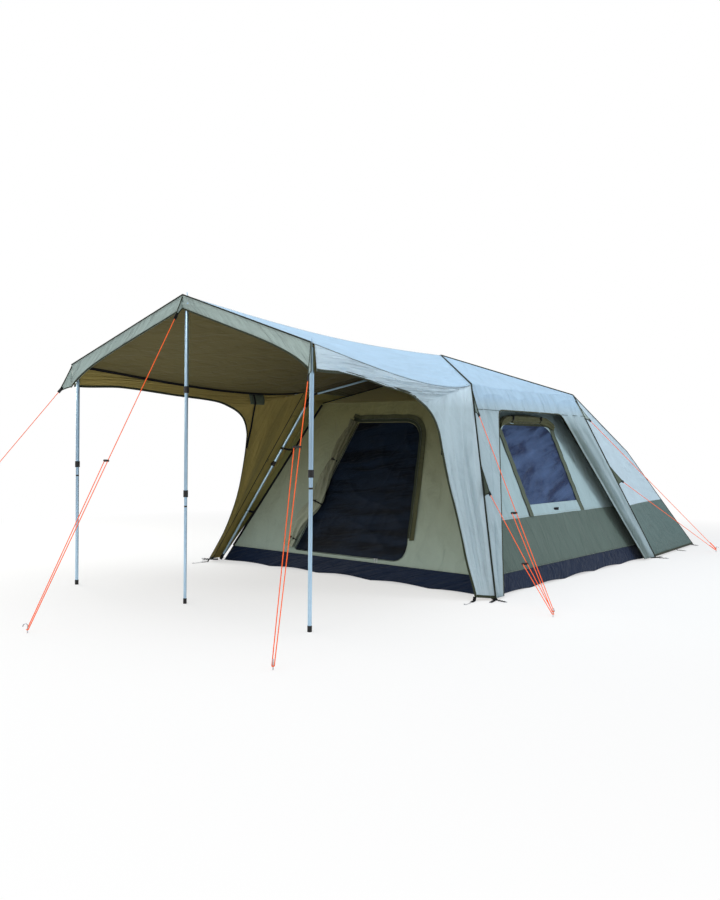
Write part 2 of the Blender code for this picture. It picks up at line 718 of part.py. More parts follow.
def window_outline(middle, edge):
    low, high = WINDOW_SILL_HEIGHT + edge, WINDOW_TOP_HEIGHT - edge
    left, right = middle - WINDOW_HALF + edge, middle + WINDOW_HALF - edge
    points = [on_wall(left, low), on_wall(right, low), on_wall(right, high), on_wall(left, high)]
    return rounded(points, [0, 0, WINDOW_ROUND - edge, WINDOW_ROUND - edge])


def hatch_outline():
    low, high = DOOR_SILL_HEIGHT, WALL_TOP_HEIGHT - HATCH_TOP_DROP
    left, right = -HATCH_HALF, HATCH_HALF
    points = [on_wall(left, low), on_wall(right, low), on_wall(right, high), on_wall(left, high)]
    return rounded(points, [0, 0, HATCH_ROUND, HATCH_ROUND])


def flap_roll(name, middle, frame):
    """The rolled window flap, drawn in where it is tied above the window."""
    count = len(FLAP_WAIST_SHARES) - 1
    lift = FLAP_ROLL_RADIUS * FLAP_SEAT_SHARE
    points = []
    for step in range(count + 1):
        across = middle + FLAP_ROLL_HALF * (2 * step / count - 1)
        points.append((*on_wall(across, WINDOW_TOP_HEIGHT + FLAP_ROLL_RISE), lift))
    core = rod("flap_core", points, FLAP_ROLL_RADIUS, GREY_CANVAS, FLAP_WAIST_SHARES)
    core.matrix_world = frame
    return baked(core, name, GREY_CANVAS)


def make_side_wall(name, side):
    frame = wall_frame(side * math.pi / 2)
    middle = side * WINDOW_OFFSET
    wall = plate(f"inner_wall_{name}", [wall_outline(), window_outline(middle, 0)], frame, GREY_CANVAS)
    combine(wall, flap_roll("flap_roll", middle, frame), "UNION")
    plate(f"window_{name}", [window_outline(middle, TRIM_GAP)], frame, WINDOW_MESH)


def make_inner_roof():
    height = INNER_PEAK_HEIGHT - WALL_TOP_HEIGHT
    centre = Matrix.Translation((0, 0, WALL_TOP_HEIGHT + height / 2))
    work = bmesh.new()
    bmesh.ops.create_cone(
        work, cap_ends=False, segments=4, radius1=WALL_TOP_HALF * math.sqrt(2), radius2=0, depth=height,
        matrix=centre @ Matrix.Rotation(math.pi / 4, 4, "Z"),
    )
    bmesh.ops.recalc_face_normals(work, faces=work.faces)
    return thicken(mesh_object("inner_roof", work, KHAKI_CANVAS))


def make_tub():
    work = bmesh.new()
    bmesh.ops.create_cube(work, size=1)
    for vert in work.verts:
        height = TUB_HEIGHT if vert.co.z > 0 else 0
        half = wall_half(height)
        vert.co = (math.copysign(half, vert.co.x), math.copysign(half, vert.co.y), height)
    bmesh.ops.delete(work, geom=[face for face in work.faces if face.normal.z > 0.9], context="FACES_ONLY")
    return thicken(mesh_object("tub_floor", work, VINYL), -1)


def door_hinge():
    """The two ends of the door's hinge line, on its outer face."""
    frame = wall_frame(0)
    hinge = DOOR_HINGE_GAP
    low = on_wall(-DOOR_SILL_LEFT + hinge, DOOR_SILL_HEIGHT + DOOR_CLEARANCE)
    high = on_wall(-DOOR_TOP_LEFT + hinge, DOOR_TOP_HEIGHT - DOOR_CLEARANCE)
    return frame @ Vector((*low, SKIN)), frame @ Vector((*high, SKIN))


def make_door():
    low, high = door_hinge()
    hinge = bpy.data.objects.new("door_hinge", None)
    hinge.location = low
    hinge.rotation_mode = "QUATERNION"
    hinge.rotation_quaternion = (low - high).to_track_quat("Z", "Y")
    tent.objects.link(hinge)
    door = plate("door_mesh", [door_outline(DOOR_HINGE_GAP, DOOR_CLEARANCE)], wall_frame(0), DOOR_MESH)
    bpy.context.view_layer.update()
    door.parent = hinge
    door.matrix_parent_inverse = hinge.matrix_world.inverted()


def make_door_roll():
    """The outer door, gathered in folds along the hinge side and tied."""
    low = on_wall(-DOOR_SILL_LEFT, DOOR_SILL_HEIGHT)
    high = on_wall(-DOOR_TOP_LEFT, DOOR_TOP_HEIGHT)
    along = (high - low).normalized()
    across = Vector((-along.y, along.x))

    def place(u, v):
        share = blend(TRIM_GAP, 1 - TRIM_GAP, v)
        pinch = min(abs(share - tie) for tie in ROLL_TIE_SHARES) * len(ROLL_TIE_SHARES) * 2
        swell = 0.3 if v in (0, 1) else 0.55 + 0.45 * min(pinch, 1) ** 0.5
        angle = 2 * math.pi * u
        fold = ROLL_FOLD * swell * math.cos(ROLL_FOLD_COUNT * angle + 5 * share)
        wide = (ROLL_WIDTH / 2 - ROLL_FOLD) * swell + fold
        deep = (ROLL_DEPTH - ROLL_FOLD) * swell + fold
        flat = blend(low, high, share) + across * (ROLL_WIDTH / 2 + wide * math.cos(angle))
        return Vector((*flat, deep * math.sin(angle)))

    work = bmesh.new()
    grid(work, 44, 24, place)
    bmesh.ops.remove_doubles(work, verts=work.verts, dist=WELD)
    bmesh.ops.holes_fill(work, edges=[edge for edge in work.edges if edge.is_boundary])
    bmesh.ops.recalc_face_normals(work, faces=work.faces)
    lowest = min(vert.co.z for vert in work.verts)
    bmesh.ops.translate(work, vec=(0, 0, SKIN + TRIM_GAP - lowest), verts=work.verts)
    bmesh.ops.transform(work, matrix=wall_frame(0), verts=work.verts)
    roll = mesh_object("door_roll", work, KHAKI_CANVAS)
    roll.data.shade_smooth()


def make_inner_tent():
    plate("inner_wall_front", [wall_outline(), door_outline(0, 0)], wall_frame(0), KHAKI_CANVAS)
    plate("inner_wall_rear", [wall_outline(), hatch_outline()], wall_frame(math.pi), GREY_CANVAS)
    make_side_wall("left", -1)
    make_side_wall("right", 1)
    make_inner_roof()
    make_tub()
    make_door()
    make_door_roll()


# Frame
def elbow_point(side, end):
    return Vector((side * ELBOW_HALF, end * ELBOW_HALF, ELBOW_HEIGHT))


def foot_point(side, end):
    return Vector((side * FOOT_HALF, end * FOOT_HALF, 0))


def arm_ends(side, end):
    """Pins of a roof arm: at the hub and at the elbow."""
    out = Vector((side, end, 0)).normalized()
    return Vector((0, 0, HUB_HEIGHT)) + out * (HUB_RADIUS - TONGUE_DEPTH / 2), elbow_point(side, end)


def cross_pin(name, centre, across, half):
    """A rivet through a clevis."""
    profile = [(0, 2 * half), (PIN_RADIUS, 2 * half), (PIN_RADIUS, 0), (0, 0)]
    return turned(name, profile, centre - across * half, across, STEEL, 12)


def make_hub():
    """A boss with four clevises, a dome under the fly and a stem for the inner tent's peak."""
    low, high = -HUB_BOSS_HEIGHT / 2, HUB_BOSS_HEIGHT / 2
    top = PEAK_LIFT - 2 * TRIM_GAP
    pitch = math.hypot(1, (INNER_PEAK_HEIGHT - WALL_TOP_HEIGHT) / WALL_TOP_HALF)
    stem = -PEAK_DROP + SKIN * pitch + TRIM_GAP
    profile = [
        (0, top), (PIN_RADIUS, top - PIN_RADIUS), (HUB_DOME_RADIUS, top - HUB_DOME), (HUB_DOME_RADIUS, high),
        (HUB_RADIUS - HUB_CHAMFER, high), (HUB_RADIUS, high - HUB_CHAMFER), (HUB_RADIUS, low + HUB_CHAMFER),
        (HUB_RADIUS - HUB_CHAMFER, low), (2 * PIN_RADIUS, low), (PIN_RADIUS, stem), (0, stem),
    ]
    hub = baked(turned("hub_body", profile, (0, 0, HUB_HEIGHT), UP, NYLON, 24), "hub", NYLON)
    slot = (TONGUE_LENGTH, TONGUE_THICKNESS + 2 * TRIM_GAP, 2 * HUB_BOSS_HEIGHT)
    for side, end in CORNERS.values():
        pin = arm_ends(side, end)[0]
        out = Vector((side, end, 0)).normalized()
        frame = frame_at(pin + out * TONGUE_DEPTH / 4, out, UP.cross(out))
        combine(hub, block("hub_slot", slot, frame, NYLON), "DIFFERENCE")
    for side, end in CORNERS.values():
        pin = arm_ends(side, end)[0]
        across = UP.cross(Vector((side, end, 0))).normalized()
        combine(hub, cross_pin("hub_pin", pin, across, TONGUE_THICKNESS / 2 + EAR_THICKNESS), "UNION")
    return hub


def tongue(name, pin, towards, reach, end_share):
    """The flat eye at an arm's end, bored for its pin, narrowing towards the tube."""
    across = UP.cross(towards)
    frame = frame_at(pin, towards, across.cross(towards))
    radius = TONGUE_DEPTH / 2
    outline = [Vector((reach, radius * end_share))]
    for step in range(9):
        angle = math.pi / 2 + math.pi * step / 8
        outline.append(Vector((math.cos(angle), math.sin(angle))) * radius)
    outline.append(Vector((reach, -radius * end_share)))
    bore = circle((0, 0), PIN_RADIUS + TRIM_GAP, 12)
    back = Matrix.Translation((0, 0, -TONGUE_THICKNESS / 2))
    return plate(name, [outline, bore], frame @ back, NYLON, TONGUE_THICKNESS)


def make_arm(name, side, end):
    hub_pin, elbow_pin = arm_ends(side, end)
    run = elbow_pin - hub_pin
    near, far = TONGUE_LENGTH, run.length - ARM_SETBACK
    profile = [(0, far), (ARM_RADIUS, far), (ARM_RADIUS, near), (0, near)]
    arm = baked(turned("arm_tube", profile, hub_pin, run, ALLOY), f"roof_arm_{name}", ALLOY)
    combine(arm, tongue("hub_eye", hub_pin, run, near + TONGUE_LENGTH / 2, 1), "UNION")
    combine(arm, tongue("elbow_eye", elbow_pin, -run, ARM_SETBACK + TONGUE_LENGTH / 2, 0.7), "UNION")
    return arm


def make_elbow(name, side, end):
    """Moulded block: a socket for the leg, two ears and a pin for the roof arm."""
    pin = elbow_point(side, end)
    down = (foot_point(side, end) - pin).normalized()
    outer, bore = LEG_RADIUS + SOCKET_WALL, LEG_RADIUS + TRIM_GAP
    near = ELBOW_TO_SOCKET
    far = near + SOCKET_LENGTH
    seat = far - SOCKET_DEPTH
    ring, lip = far - COLLAR_LENGTH / 3, outer + SOCKET_WALL / 2
    crown = near - SOCKET_WALL / 2
    profile = [
        (0, seat), (bore, seat), (bore, far), (lip, far), (lip, ring), (outer, ring), (outer, near),
        (outer - SOCKET_WALL, crown), (0, crown),
    ]
    elbow = baked(turned("socket", profile, pin, down, NYLON), f"elbow_{name}", NYLON)
    inward = (arm_ends(side, end)[0] - pin).normalized()
    across = UP.cross(inward).normalized()
    gap = TONGUE_THICKNESS / 2 + TRIM_GAP
    for hand in (-1, 1):
        combine(elbow, ear(pin, down, across, hand, gap, seat - SOCKET_WALL), "UNION")
    combine(elbow, cross_pin("elbow_pin", pin, across, gap + EAR_THICKNESS), "UNION")
    return elbow


def ear(pin, down, across, hand, gap, foot):
    """One ear, from the socket's shoulder up round the pin."""
    frame = frame_at(pin, down.cross(across), down)
    radius = EAR_HEIGHT / 2
    outline = [Vector((-radius, foot))]
    for step in range(9):
        angle = math.pi + math.pi * step / 8
        outline.append(Vector((math.cos(angle), math.sin(angle))) * radius)
    outline.append(Vector((radius, foot)))
    shift = gap if hand > 0 else -gap - EAR_THICKNESS
    return plate("ear", [outline], frame @ Matrix.Translation((0, 0, shift)), NYLON, EAR_THICKNESS)


def make_leg(name, side, end):
    """Upper tube with its locking collar, and the lower tube that slides in it."""
    pin, foot = elbow_point(side, end), foot_point(side, end)
    head = ELBOW_TO_SOCKET + SOCKET_LENGTH - SOCKET_DEPTH + TRIM_GAP
    bore, low, rim = LEG_RADIUS - TUBE_WALL, UPPER_LEG_LENGTH, LEG_RADIUS + COLLAR_RIM
    upper = [
        (LEG_RADIUS, head), (bore, head), (bore, low), (rim, low), (rim, low - COLLAR_LENGTH),
        (LEG_RADIUS, low - COLLAR_LENGTH),
    ]
    turned(f"leg_upper_{name}", upper, pin, foot - pin, ALLOY)
    inner = bore - SLIDE_CLEARANCE
    hollow, cap = inner - TUBE_WALL, inner + CAP_RIM
    lean = math.hypot(FOOT_HALF - ELBOW_HALF, FOOT_HALF - ELBOW_HALF) / ELBOW_HEIGHT
    tip = (foot - pin).length - cap * lean - TRIM_GAP
    top = UPPER_LEG_LENGTH - LEG_OVERLAP
    lower = [
        (inner, top), (hollow, top), (hollow, tip - CAP_LENGTH / 2), (0, tip - CAP_LENGTH / 2), (0, tip),
        (cap, tip), (cap, tip - CAP_LENGTH), (inner, tip - CAP_LENGTH),
    ]
    turned(f"leg_lower_{name}", lower, pin, foot - pin, ALLOY)


def make_pole(x, y, suffix, collars):
    """A telescoping pole: the head tube carries the spike, each collar starts a thinner tube."""
    top = canopy_height(x, y) - POLE_SHOULDER
    radius = POLE_RADIUS
    parts = ["upper", "middle", "lower"] if len(collars) == 2 else ["upper", "lower"]
    for index, part in enumerate(parts):
        bore = radius - TUBE_WALL
        if index == 0:
            point = top + SPIKE_LENGTH
            shape = [(0, point), (SPIKE_RADIUS / 2, point), (SPIKE_RADIUS, point - SPIKE_RADIUS)]
            shape += [(SPIKE_RADIUS, top), (radius, top - SPIKE_RADIUS)]
        else:
            shape = [(radius, top)]
        if index < len(collars):
            low = collars[index]
            rim = radius + COLLAR_RIM
            shape += [(radius, low + COLLAR_LENGTH), (rim, low + COLLAR_LENGTH), (rim, low), (bore, low)]
            shape += [(bore, top)] if index else [(bore, top - CAP_LENGTH), (0, top - CAP_LENGTH)]
            top = low + POLE_OVERLAP
        else:
            rim = radius + CAP_RIM
            shape += [(radius, CAP_LENGTH), (rim, CAP_LENGTH), (rim, 0), (0, 0), (0, CAP_LENGTH / 2)]
            shape += [(bore, CAP_LENGTH / 2), (bore, top)]
        turned(f"awning_pole_{part}_{suffix}", shape, (x, y, 0), UP, ALLOY)
        radius = bore - SLIDE_CLEARANCE


# Guy ropes
PEGS = {
    "awning_left": Vector((-AWNING_HALF - LEFT_PEG_OUT, -AWNING_LENGTH - LEFT_PEG_AHEAD, 0)),
    "awning_ridge": Vector((RIDGE_PEG_OUT, -RIDGE_LENGTH - RIDGE_PEG_AHEAD, 0)),
    "awning_right": Vector((AWNING_HALF + RIGHT_PEG_OUT, -AWNING_LENGTH - RIGHT_PEG_AHEAD, 0)),
    "front": Vector((FOOT_HALF + FRONT_PEG_OUT, -FOOT_HALF - FRONT_PEG_AHEAD, 0)),
    "rear": Vector((FOOT_HALF + REAR_PEG_OUT, FOOT_HALF + REAR_PEG_BEHIND, 0)),
}


def rope_line(tip, peg, turn_share):
    """Directions of a rope and the turn it takes round its peg."""
    neck = peg + Vector((0, 0, PEG_HEIGHT * turn_share))
    run = (neck - tip).normalized()
    across = run.cross(UP).normalized()
    ahead = Vector((run.x, run.y, 0)).normalized()
    turn = PEG_RADIUS + ROPE_RADIUS + PEG_CLEARANCE
    bend = []
    for step in range(ROPE_TURN_COUNT + 1):
        angle = math.pi * step / ROPE_TURN_COUNT
        bend.append(neck + (ahead * math.sin(angle) - across * math.cos(angle)) * turn)
    return tip + run * TRIM_GAP, run, across, bend


def runner_seat(tip, peg, turn_share, runner_share):
    """Where a runner sits on its rope, and the rope's direction there."""
    start, run, across, bend = rope_line(tip, peg, turn_share)
    return blend(start, bend[0], runner_share), (bend[0] - start).normalized()


def make_guy(name, tip, peg, turn_share, runner_share):
    """A rope down to its peg, round it and back up to its runner."""
    start, run, across, bend = rope_line(tip, peg, turn_share)
    seat, line = runner_seat(tip, peg, turn_share, runner_share)
    back = seat + across * 2 * ROPE_LOOP + line * (RUNNER_THICKNESS / 2 + TRIM_GAP)
    rod(f"guy_rope_{name}", [start, seat, blend(seat, bend[0], 1 / 2)] + bend + [back], ROPE_RADIUS, CORD)
    frame = frame_at(seat, across, line.cross(across)) @ Matrix.Translation((0, 0, -RUNNER_THICKNESS / 2))
    near, far, deep = ROPE_LOOP - RUNNER_HALF, ROPE_LOOP + RUNNER_HALF, RUNNER_DEPTH / 2
    shape = rounded([(near, -deep), (far, -deep), (far, deep), (near, deep)], [RUNNER_ROUND] * 4, 3)
    plate(f"runner_{name}", [shape, circle((0, 0), RUNNER_BORE, 12)], frame, NYLON, RUNNER_THICKNESS)


def make_short_guy(name, tip, peg, turn_share):
    """A rope to its peg and round it, with a short tail."""
    start, run, across, bend = rope_line(tip, peg, turn_share)
    points = [start, blend(start, bend[0], 1 / 2)] + bend + [bend[-1] - run * ROPE_TAIL]
    rod(f"guy_rope_{name}", points, ROPE_RADIUS, CORD)


def make_peg(name, pull):
    """The hooked head of a steel peg, cut off at the ground."""
    base = PEGS[name]
    shoulder = PEG_HEIGHT - PEG_HOOK
    points = [base, base + Vector((0, 0, shoulder / 2)), base + Vector((0, 0, shoulder))]
    for step in range(1, 7):
        angle = math.pi * step / 6
        lift = Vector((0, 0, shoulder + PEG_HOOK * math.sin(angle)))
        points.append(base + lift + pull * PEG_HOOK * (1 - math.cos(angle)))
    rod(f"peg_{name}", points, PEG_RADIUS, STEEL)


cloth("fly_roof", 12, 4, roof_place, up, ROOF_CANVAS)
make_awning()
for hand, label in ((-1, "left"), (1, "right")):
    cloth(f"fly_wing_{label}", 28, 6, wing_place(hand), away, FLY_CANVAS)
    make_side(hand, label)
make_lobby()
make_inner_tent()
make_hub()
for label, (hand, fore) in CORNERS.items():
    make_arm(label, hand, fore)
    make_elbow(label, hand, fore)
    make_leg(label, hand, fore)
make_pole(-POLE_HALF, POLE_FRONT, "left", [SIDE_COLLAR_HEIGHT])
make_pole(POLE_HALF, POLE_FRONT, "right", [SIDE_COLLAR_HEIGHT])
make_pole(0, CENTRE_POLE_FRONT, "centre", [CENTRE_COLLAR_HIGH, CENTRE_COLLAR_LOW])
make_hoop()

GUYS = {
    "awning_left": (corner_tab(-1)[1], "awning_left", TURN_LOW_SHARE, LEFT_RUNNER_SHARE),
    "awning_ridge": (ridge_tab()[1], "awning_ridge", TURN_LOW_SHARE, RIDGE_RUNNER_SHARE),
    "awning_right": (corner_tab(1)[1], "awning_right", TURN_LOW_SHARE, RIGHT_RUNNER_SHARE),
    "front_high": (leg_tab(1, -1, TAB_HIGH_HEIGHT)[1], "front", TURN_HIGH_SHARE, HIGH_RUNNER_SHARE),
    "front_low": (leg_tab(1, -1, TAB_LOW_HEIGHT)[1], "front", TURN_LOW_SHARE, LOW_RUNNER_SHARE),
}
for label, (tip_place, peg_name, turn_at, runner_at) in GUYS.items():
    make_guy(label, tip_place, PEGS[peg_name], turn_at, runner_at)
make_short_guy("rear_high", leg_tab(1, 1, TAB_HIGH_HEIGHT)[1], PEGS["rear"], TURN_HIGH_SHARE)
make_short_guy("rear_low", leg_tab(1, 1, TAB_LOW_HEIGHT)[1], PEGS["rear"], TURN_LOW_SHARE)
make_peg("awning_left", Vector((-1, -1, 0)).normalized())
make_peg("awning_ridge", Vector((0, -1, 0)))
make_peg("awning_right", Vector((1, -1, 0)).normalized())
make_peg("front", Vector((1, -1, 0)).normalized())
make_peg("rear", Vector((1, 1, 0)).normalized())
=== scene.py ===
import json
import math

import bmesh
import bpy
from mathutils import Matrix, Vector, noise


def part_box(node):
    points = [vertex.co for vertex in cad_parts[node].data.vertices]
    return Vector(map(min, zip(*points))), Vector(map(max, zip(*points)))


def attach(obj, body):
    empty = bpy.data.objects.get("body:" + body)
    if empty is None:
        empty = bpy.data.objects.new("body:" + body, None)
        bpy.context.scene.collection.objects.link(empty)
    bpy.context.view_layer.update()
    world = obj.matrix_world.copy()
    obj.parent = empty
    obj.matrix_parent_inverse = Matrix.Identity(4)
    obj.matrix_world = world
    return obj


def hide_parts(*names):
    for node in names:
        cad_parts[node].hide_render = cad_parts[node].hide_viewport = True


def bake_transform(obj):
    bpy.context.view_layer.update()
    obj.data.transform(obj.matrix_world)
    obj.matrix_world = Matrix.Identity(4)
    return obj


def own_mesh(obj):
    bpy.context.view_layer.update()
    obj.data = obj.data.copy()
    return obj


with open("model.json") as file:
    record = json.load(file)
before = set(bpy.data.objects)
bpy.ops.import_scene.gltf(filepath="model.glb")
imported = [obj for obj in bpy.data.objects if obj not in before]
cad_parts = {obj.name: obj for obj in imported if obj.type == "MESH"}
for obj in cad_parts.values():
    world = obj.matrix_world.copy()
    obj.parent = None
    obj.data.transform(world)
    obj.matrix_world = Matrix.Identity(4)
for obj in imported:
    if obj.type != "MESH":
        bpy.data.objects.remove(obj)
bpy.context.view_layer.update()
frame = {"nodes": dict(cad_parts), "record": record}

cadNodes = frame["nodes"]
home = bpy.context.scene.collection

# the tent's own sizes, in metres, as the solids have them
size = {
    "foot": 1.65, "eave": 1.00, "eaveHeight": 1.725, "hem": 0.015, "peak": 2.119,
    "awningHalf": 1.36, "awningFront": 3.44, "ridgeFront": 3.37, "awningEave": 1.83, "awningPeak": 2.28,
    "ridgeSag": 0.065, "eaveSag": 0.085, "valance": 0.105, "cornerValance": 0.190,
    "floorHalf": 1.57, "wallTop": 1.60, "wallTopHalf": 0.86962, "innerPeak": 1.97, "tub": 0.145,
}
lean = (size["floorHalf"] - size["wallTopHalf"]) / size["wallTop"]
awningDepth = size["awningFront"] - size["eave"]
cornerSigns = ((1, -1), (1, 1), (-1, 1), (-1, -1))
lineUp = Vector((0, 0, 1))


def spread(count, start=0.0, span=1.0):
    return [start + span * k / count for k in range(count + 1)]


# Colours and shader maths
def rgb(red, green, blue):
    return tuple((part / 12.92 if part <= 0.04045 else ((part + 0.055) / 1.055) ** 2.4)
                 for part in (red / 255, green / 255, blue / 255)) + (1,)


class Val:
    def __init__(self, tree, socket):
        self.tree, self.socket = tree, socket

    def add(self, kind, settings=None, inputs=None, output=0):
        node = self.tree.nodes.new(kind)
        for key, value in (settings or {}).items():
            if key == "stops":
                ramp = node.color_ramp
                while len(ramp.elements) < len(value):
                    ramp.elements.new(0.5)
                for element, (place, colour) in zip(ramp.elements, value):
                    element.position, element.color = place, colour
            else:
                setattr(node, key, value)
        for key, value in (inputs or {}).items():
            if isinstance(value, Val):
                self.tree.links.new(value.socket, node.inputs[key])
            else:
                node.inputs[key].default_value = value
        return Val(self.tree, node.outputs[output])

    def calc(self, operation, first, second=0.0, clamp=False):
        return self.add("ShaderNodeMath", {"operation": operation, "use_clamp": clamp}, {0: first, 1: second})

    def __add__(self, other):
        return self.calc("ADD", self, other)

    def __sub__(self, other):
        return self.calc("SUBTRACT", self, other)

    def __mul__(self, other):
        return self.calc("MULTIPLY", self, other)

    def __rsub__(self, other):
        return self.calc("SUBTRACT", other, self)

    __radd__, __rmul__ = __add__, __mul__

    def sine(self):
        return self.calc("SINE", self)

    def size(self):
        return self.calc("ABSOLUTE", self)

    def above(self, edge, soft=0.0005):      # 0 below the edge, 1 above it
        return self.calc("MULTIPLY", self - (edge - soft / 2), 1 / soft, True)

    def dot(self, way):
        return self.add("ShaderNodeVectorMath", {"operation": "DOT_PRODUCT"}, {0: self, 1: way}, 1)

    def scaled(self, way):
        return self.add("ShaderNodeVectorMath", {"operation": "MULTIPLY"}, {0: self, 1: way})

    def blend(self, low, high):              # this mask mixes two colours
        return self.add("ShaderNodeMix", {"data_type": "RGBA"}, {0: self, 6: low, 7: high}, 2)

    def ridged(self):                        # crease lines where the noise crosses its middle
        return self.calc("SUBTRACT", 1.0, ((self - 0.5) * 5).size(), True)

    def grain(self, scale, detail=2.0, rough=0.5, warp=0.0):
        return self.add("ShaderNodeTexNoise", {}, {
            "Vector": self, "Scale": scale, "Detail": detail, "Roughness": rough, "Distortion": warp})


def paint(name, rough, metal=0.0, sheen=0.0, shine=0.5):
    finish = bpy.data.materials.new(name)
    finish.use_nodes = True
    tree = finish.node_tree
    shader = tree.nodes["Principled BSDF"]
    shader.inputs["Roughness"].default_value = rough
    shader.inputs["Metallic"].default_value = metal
    shader.inputs["Specular IOR Level"].default_value = shine
    shader.inputs["Sheen Weight"].default_value = sheen
    shader.inputs["Sheen Roughness"].default_value = 0.5
    start = Val(tree, None)
    placeOn = start.add("ShaderNodeTexCoord", {}, {}, 3)
    cloth = start.add("ShaderNodeUVMap", {"uv_map": "cloth"})

    def into(socket, value):
        tree.links.new(value.socket, shader.inputs[socket])

    def bumps(height, distance, strength=1.0, under=None):
        inputs = {"Height": height, "Distance": distance, "Strength": strength}
        if under:
            inputs["Normal"] = under
        return start.add("ShaderNodeBump", {}, inputs)

    return finish, placeOn, cloth, into, bumps


canvas = {
    "threads": 900.0, "weaveDepth": 0.00035, "crinkle": 0.0150, "blotch": 0.07, "fleck": 0.09, "ridge": 0.22,
    "paintedFoldStreak": 0.22,
}


def canvasPaint(name, colour, rough=0.86, bandColour=None, bandTop=0.0, bandSoft=0.002, crinkle=1.0, dirt=0.0,
                drawn=(1, 0.4), paintedSkyHighlight=None, paintedFoldShade=None):
    finish, placeOn, cloth, into, bumps = paint(name, rough, sheen=0.10, shine=0.12)
    warp = cloth.dot((canvas["threads"] * math.pi, 0, 0)).sine()
    weft = cloth.dot((0, canvas["threads"] * math.pi, 0)).sine()
    weave = warp * weft * 0.5 + 0.5
    slub = cloth.scaled((1, 9, 1)).grain(60, 3, 0.7)
    blotch = placeOn.grain(1.7, 4, 0.6, 0.4)
    fleck = placeOn.grain(420, 2, 0.6)
    tone = 1 + (blotch - 0.5) * canvas["blotch"] * 2 + (fleck - 0.5) * canvas["fleck"] * 2 + (slub - 0.5) * 0.10
    # streaks along the folds: in the colour they are painted light and shade, and below they also raise the fold bumps
    foldStreaks = cloth.scaled((*drawn, 1)).grain(9, 3, 0.5, 0.7)
    tone = tone * (0.985 + weave * 0.03) * (1 + (foldStreaks - 0.5) * canvas["paintedFoldStreak"] * crinkle)
    base = Val(finish.node_tree, finish.node_tree.nodes.new("ShaderNodeRGB").outputs[0])
    base.socket.default_value = colour
    if bandColour:
        height = placeOn.dot((0, 0, 1))
        base = height.above(bandTop, bandSoft).blend(bandColour, colour)
    if paintedFoldShade:                                # painted shade beside the opening's rear edge, standing in for the shadow of a fold
        beside = placeOn.dot((0, 1, 0.523)) + (placeOn.grain(3.0, 2, 0.5) - 0.5) * 0.12
        under = 1 - placeOn.dot((0, 0, 1)).above(1.42, 0.16)
        fold = beside.above(1.38, 0.10) * (1 - beside.above(1.56, 0.16))
        shade = fold + beside.above(1.64, 0.08) * (1 - beside.above(1.72, 0.08)) * 0.5
        base = (shade * under).blend(base, paintedFoldShade)
    if paintedSkyHighlight:                                # painted highlight: paler and bluer towards the top front corner
        near = placeOn.dot((0, 0, 1)).above(1.60, 0.20) * placeOn.dot((0, -1, 0)).above(1.05, 0.14)
        base = near.blend(base, paintedSkyHighlight)
    if dirt:
        height = placeOn.dot((0, 0, 1))
        low = (1 - height.above(0.10, 0.20)) * placeOn.grain(9, 5, 0.7) * dirt
        base = low.blend(base, rgb(96, 88, 70))
    shade = base.add("ShaderNodeVectorMath", {"operation": "SCALE"}, {0: base, "Scale": tone})
    into("Base Color", shade)
    into("Roughness", rough + (slub - 0.5) * 0.12)
    drape = cloth.grain(5.5, 3, 0.5, 0.8) + foldStreaks * 0.5 + foldStreaks.ridged() * canvas["ridge"]
    folds = bumps(drape, canvas["crinkle"] * crinkle, 0.9)
    into("Normal", bumps(weave + slub * 0.4, canvas["weaveDepth"], 0.5, folds))
    return finish


def netPaint(name, colour, lit, alpha, crinkle, slope, grade):
    finish, placeOn, cloth, into, bumps = paint(name, 0.62, sheen=0.06, shine=0.10)
    pitch = 1250.0 * math.pi
    thread = cloth.dot((pitch, 0, 0)).sine().size() * cloth.dot((0, pitch, 0)).sine().size()
    way = (math.cos(slope), math.sin(slope))
    turned = cloth.add("ShaderNodeCombineXYZ", {}, {
        0: cloth.dot((way[0], way[1], 0)) * 0.15, 1: cloth.dot((-way[1], way[0], 0))})
    creases = turned.grain(grade, 3, 0.55, 0.15)
    light = (creases - 0.42) * 2.6 + creases.ridged() * 0.15 + thread * 0.15
    into("Base Color", light.calc("MINIMUM", light, 1.0).blend(colour, lit))
    into("Alpha", alpha + (0.5 - thread) * 0.10)
    into("Normal", bumps(creases + creases.ridged() * 0.2 + thread * 0.01, crinkle, 0.9))
    return finish


def plainPaint(name, colour, rough, metal=0.0, scale=300.0, depth=0.0002, vary=0.10, shine=0.5):
    finish, placeOn, cloth, into, bumps = paint(name, rough, metal, shine=shine)
    speck = placeOn.grain(scale, 3, 0.6)
    wide = placeOn.grain(6, 3, 0.6)
    worn = tuple(min(part * 1.25 + 0.01, 1) for part in colour[:3]) + (1,)
    into("Base Color", (wide * vary * 2 + speck * vary).blend(colour, worn))
    into("Roughness", rough + (speck - 0.5) * 0.14 + (wide - 0.5) * 0.12)
    into("Normal", bumps(speck, depth, 0.6))
    return finish


def tubePaint(name, way, start, sleeves):     # bright tube with black sleeves at distances along it
    finish, placeOn, cloth, into, bumps = paint(name, 0.28, 1.0)
    along = placeOn.dot(way) - start
    black = 0.0
    for low, high in sleeves:
        black = black + along.above(low, 0.0004) * (1 - along.above(high, 0.0004))
    drawn = placeOn.scaled(tuple(260 * (1 - abs(part)) + 3 for part in way)).grain(1, 2, 0.5)
    smudge = placeOn.grain(14, 4, 0.6)
    # the pale alloy tinted light blue: partly its own metal, partly a painted reflection of the sky
    skyTintedAlloy = drawn.blend(rgb(168, 204, 230), rgb(206, 233, 252))
    into("Base Color", black.blend(skyTintedAlloy, rgb(20, 20, 22)))
    into("Metallic", 1 - black)
    into("Roughness", 0.24 + smudge * 0.14 + black * 0.22)
    into("Normal", bumps(drawn, 0.00008, 0.5))
    return finish


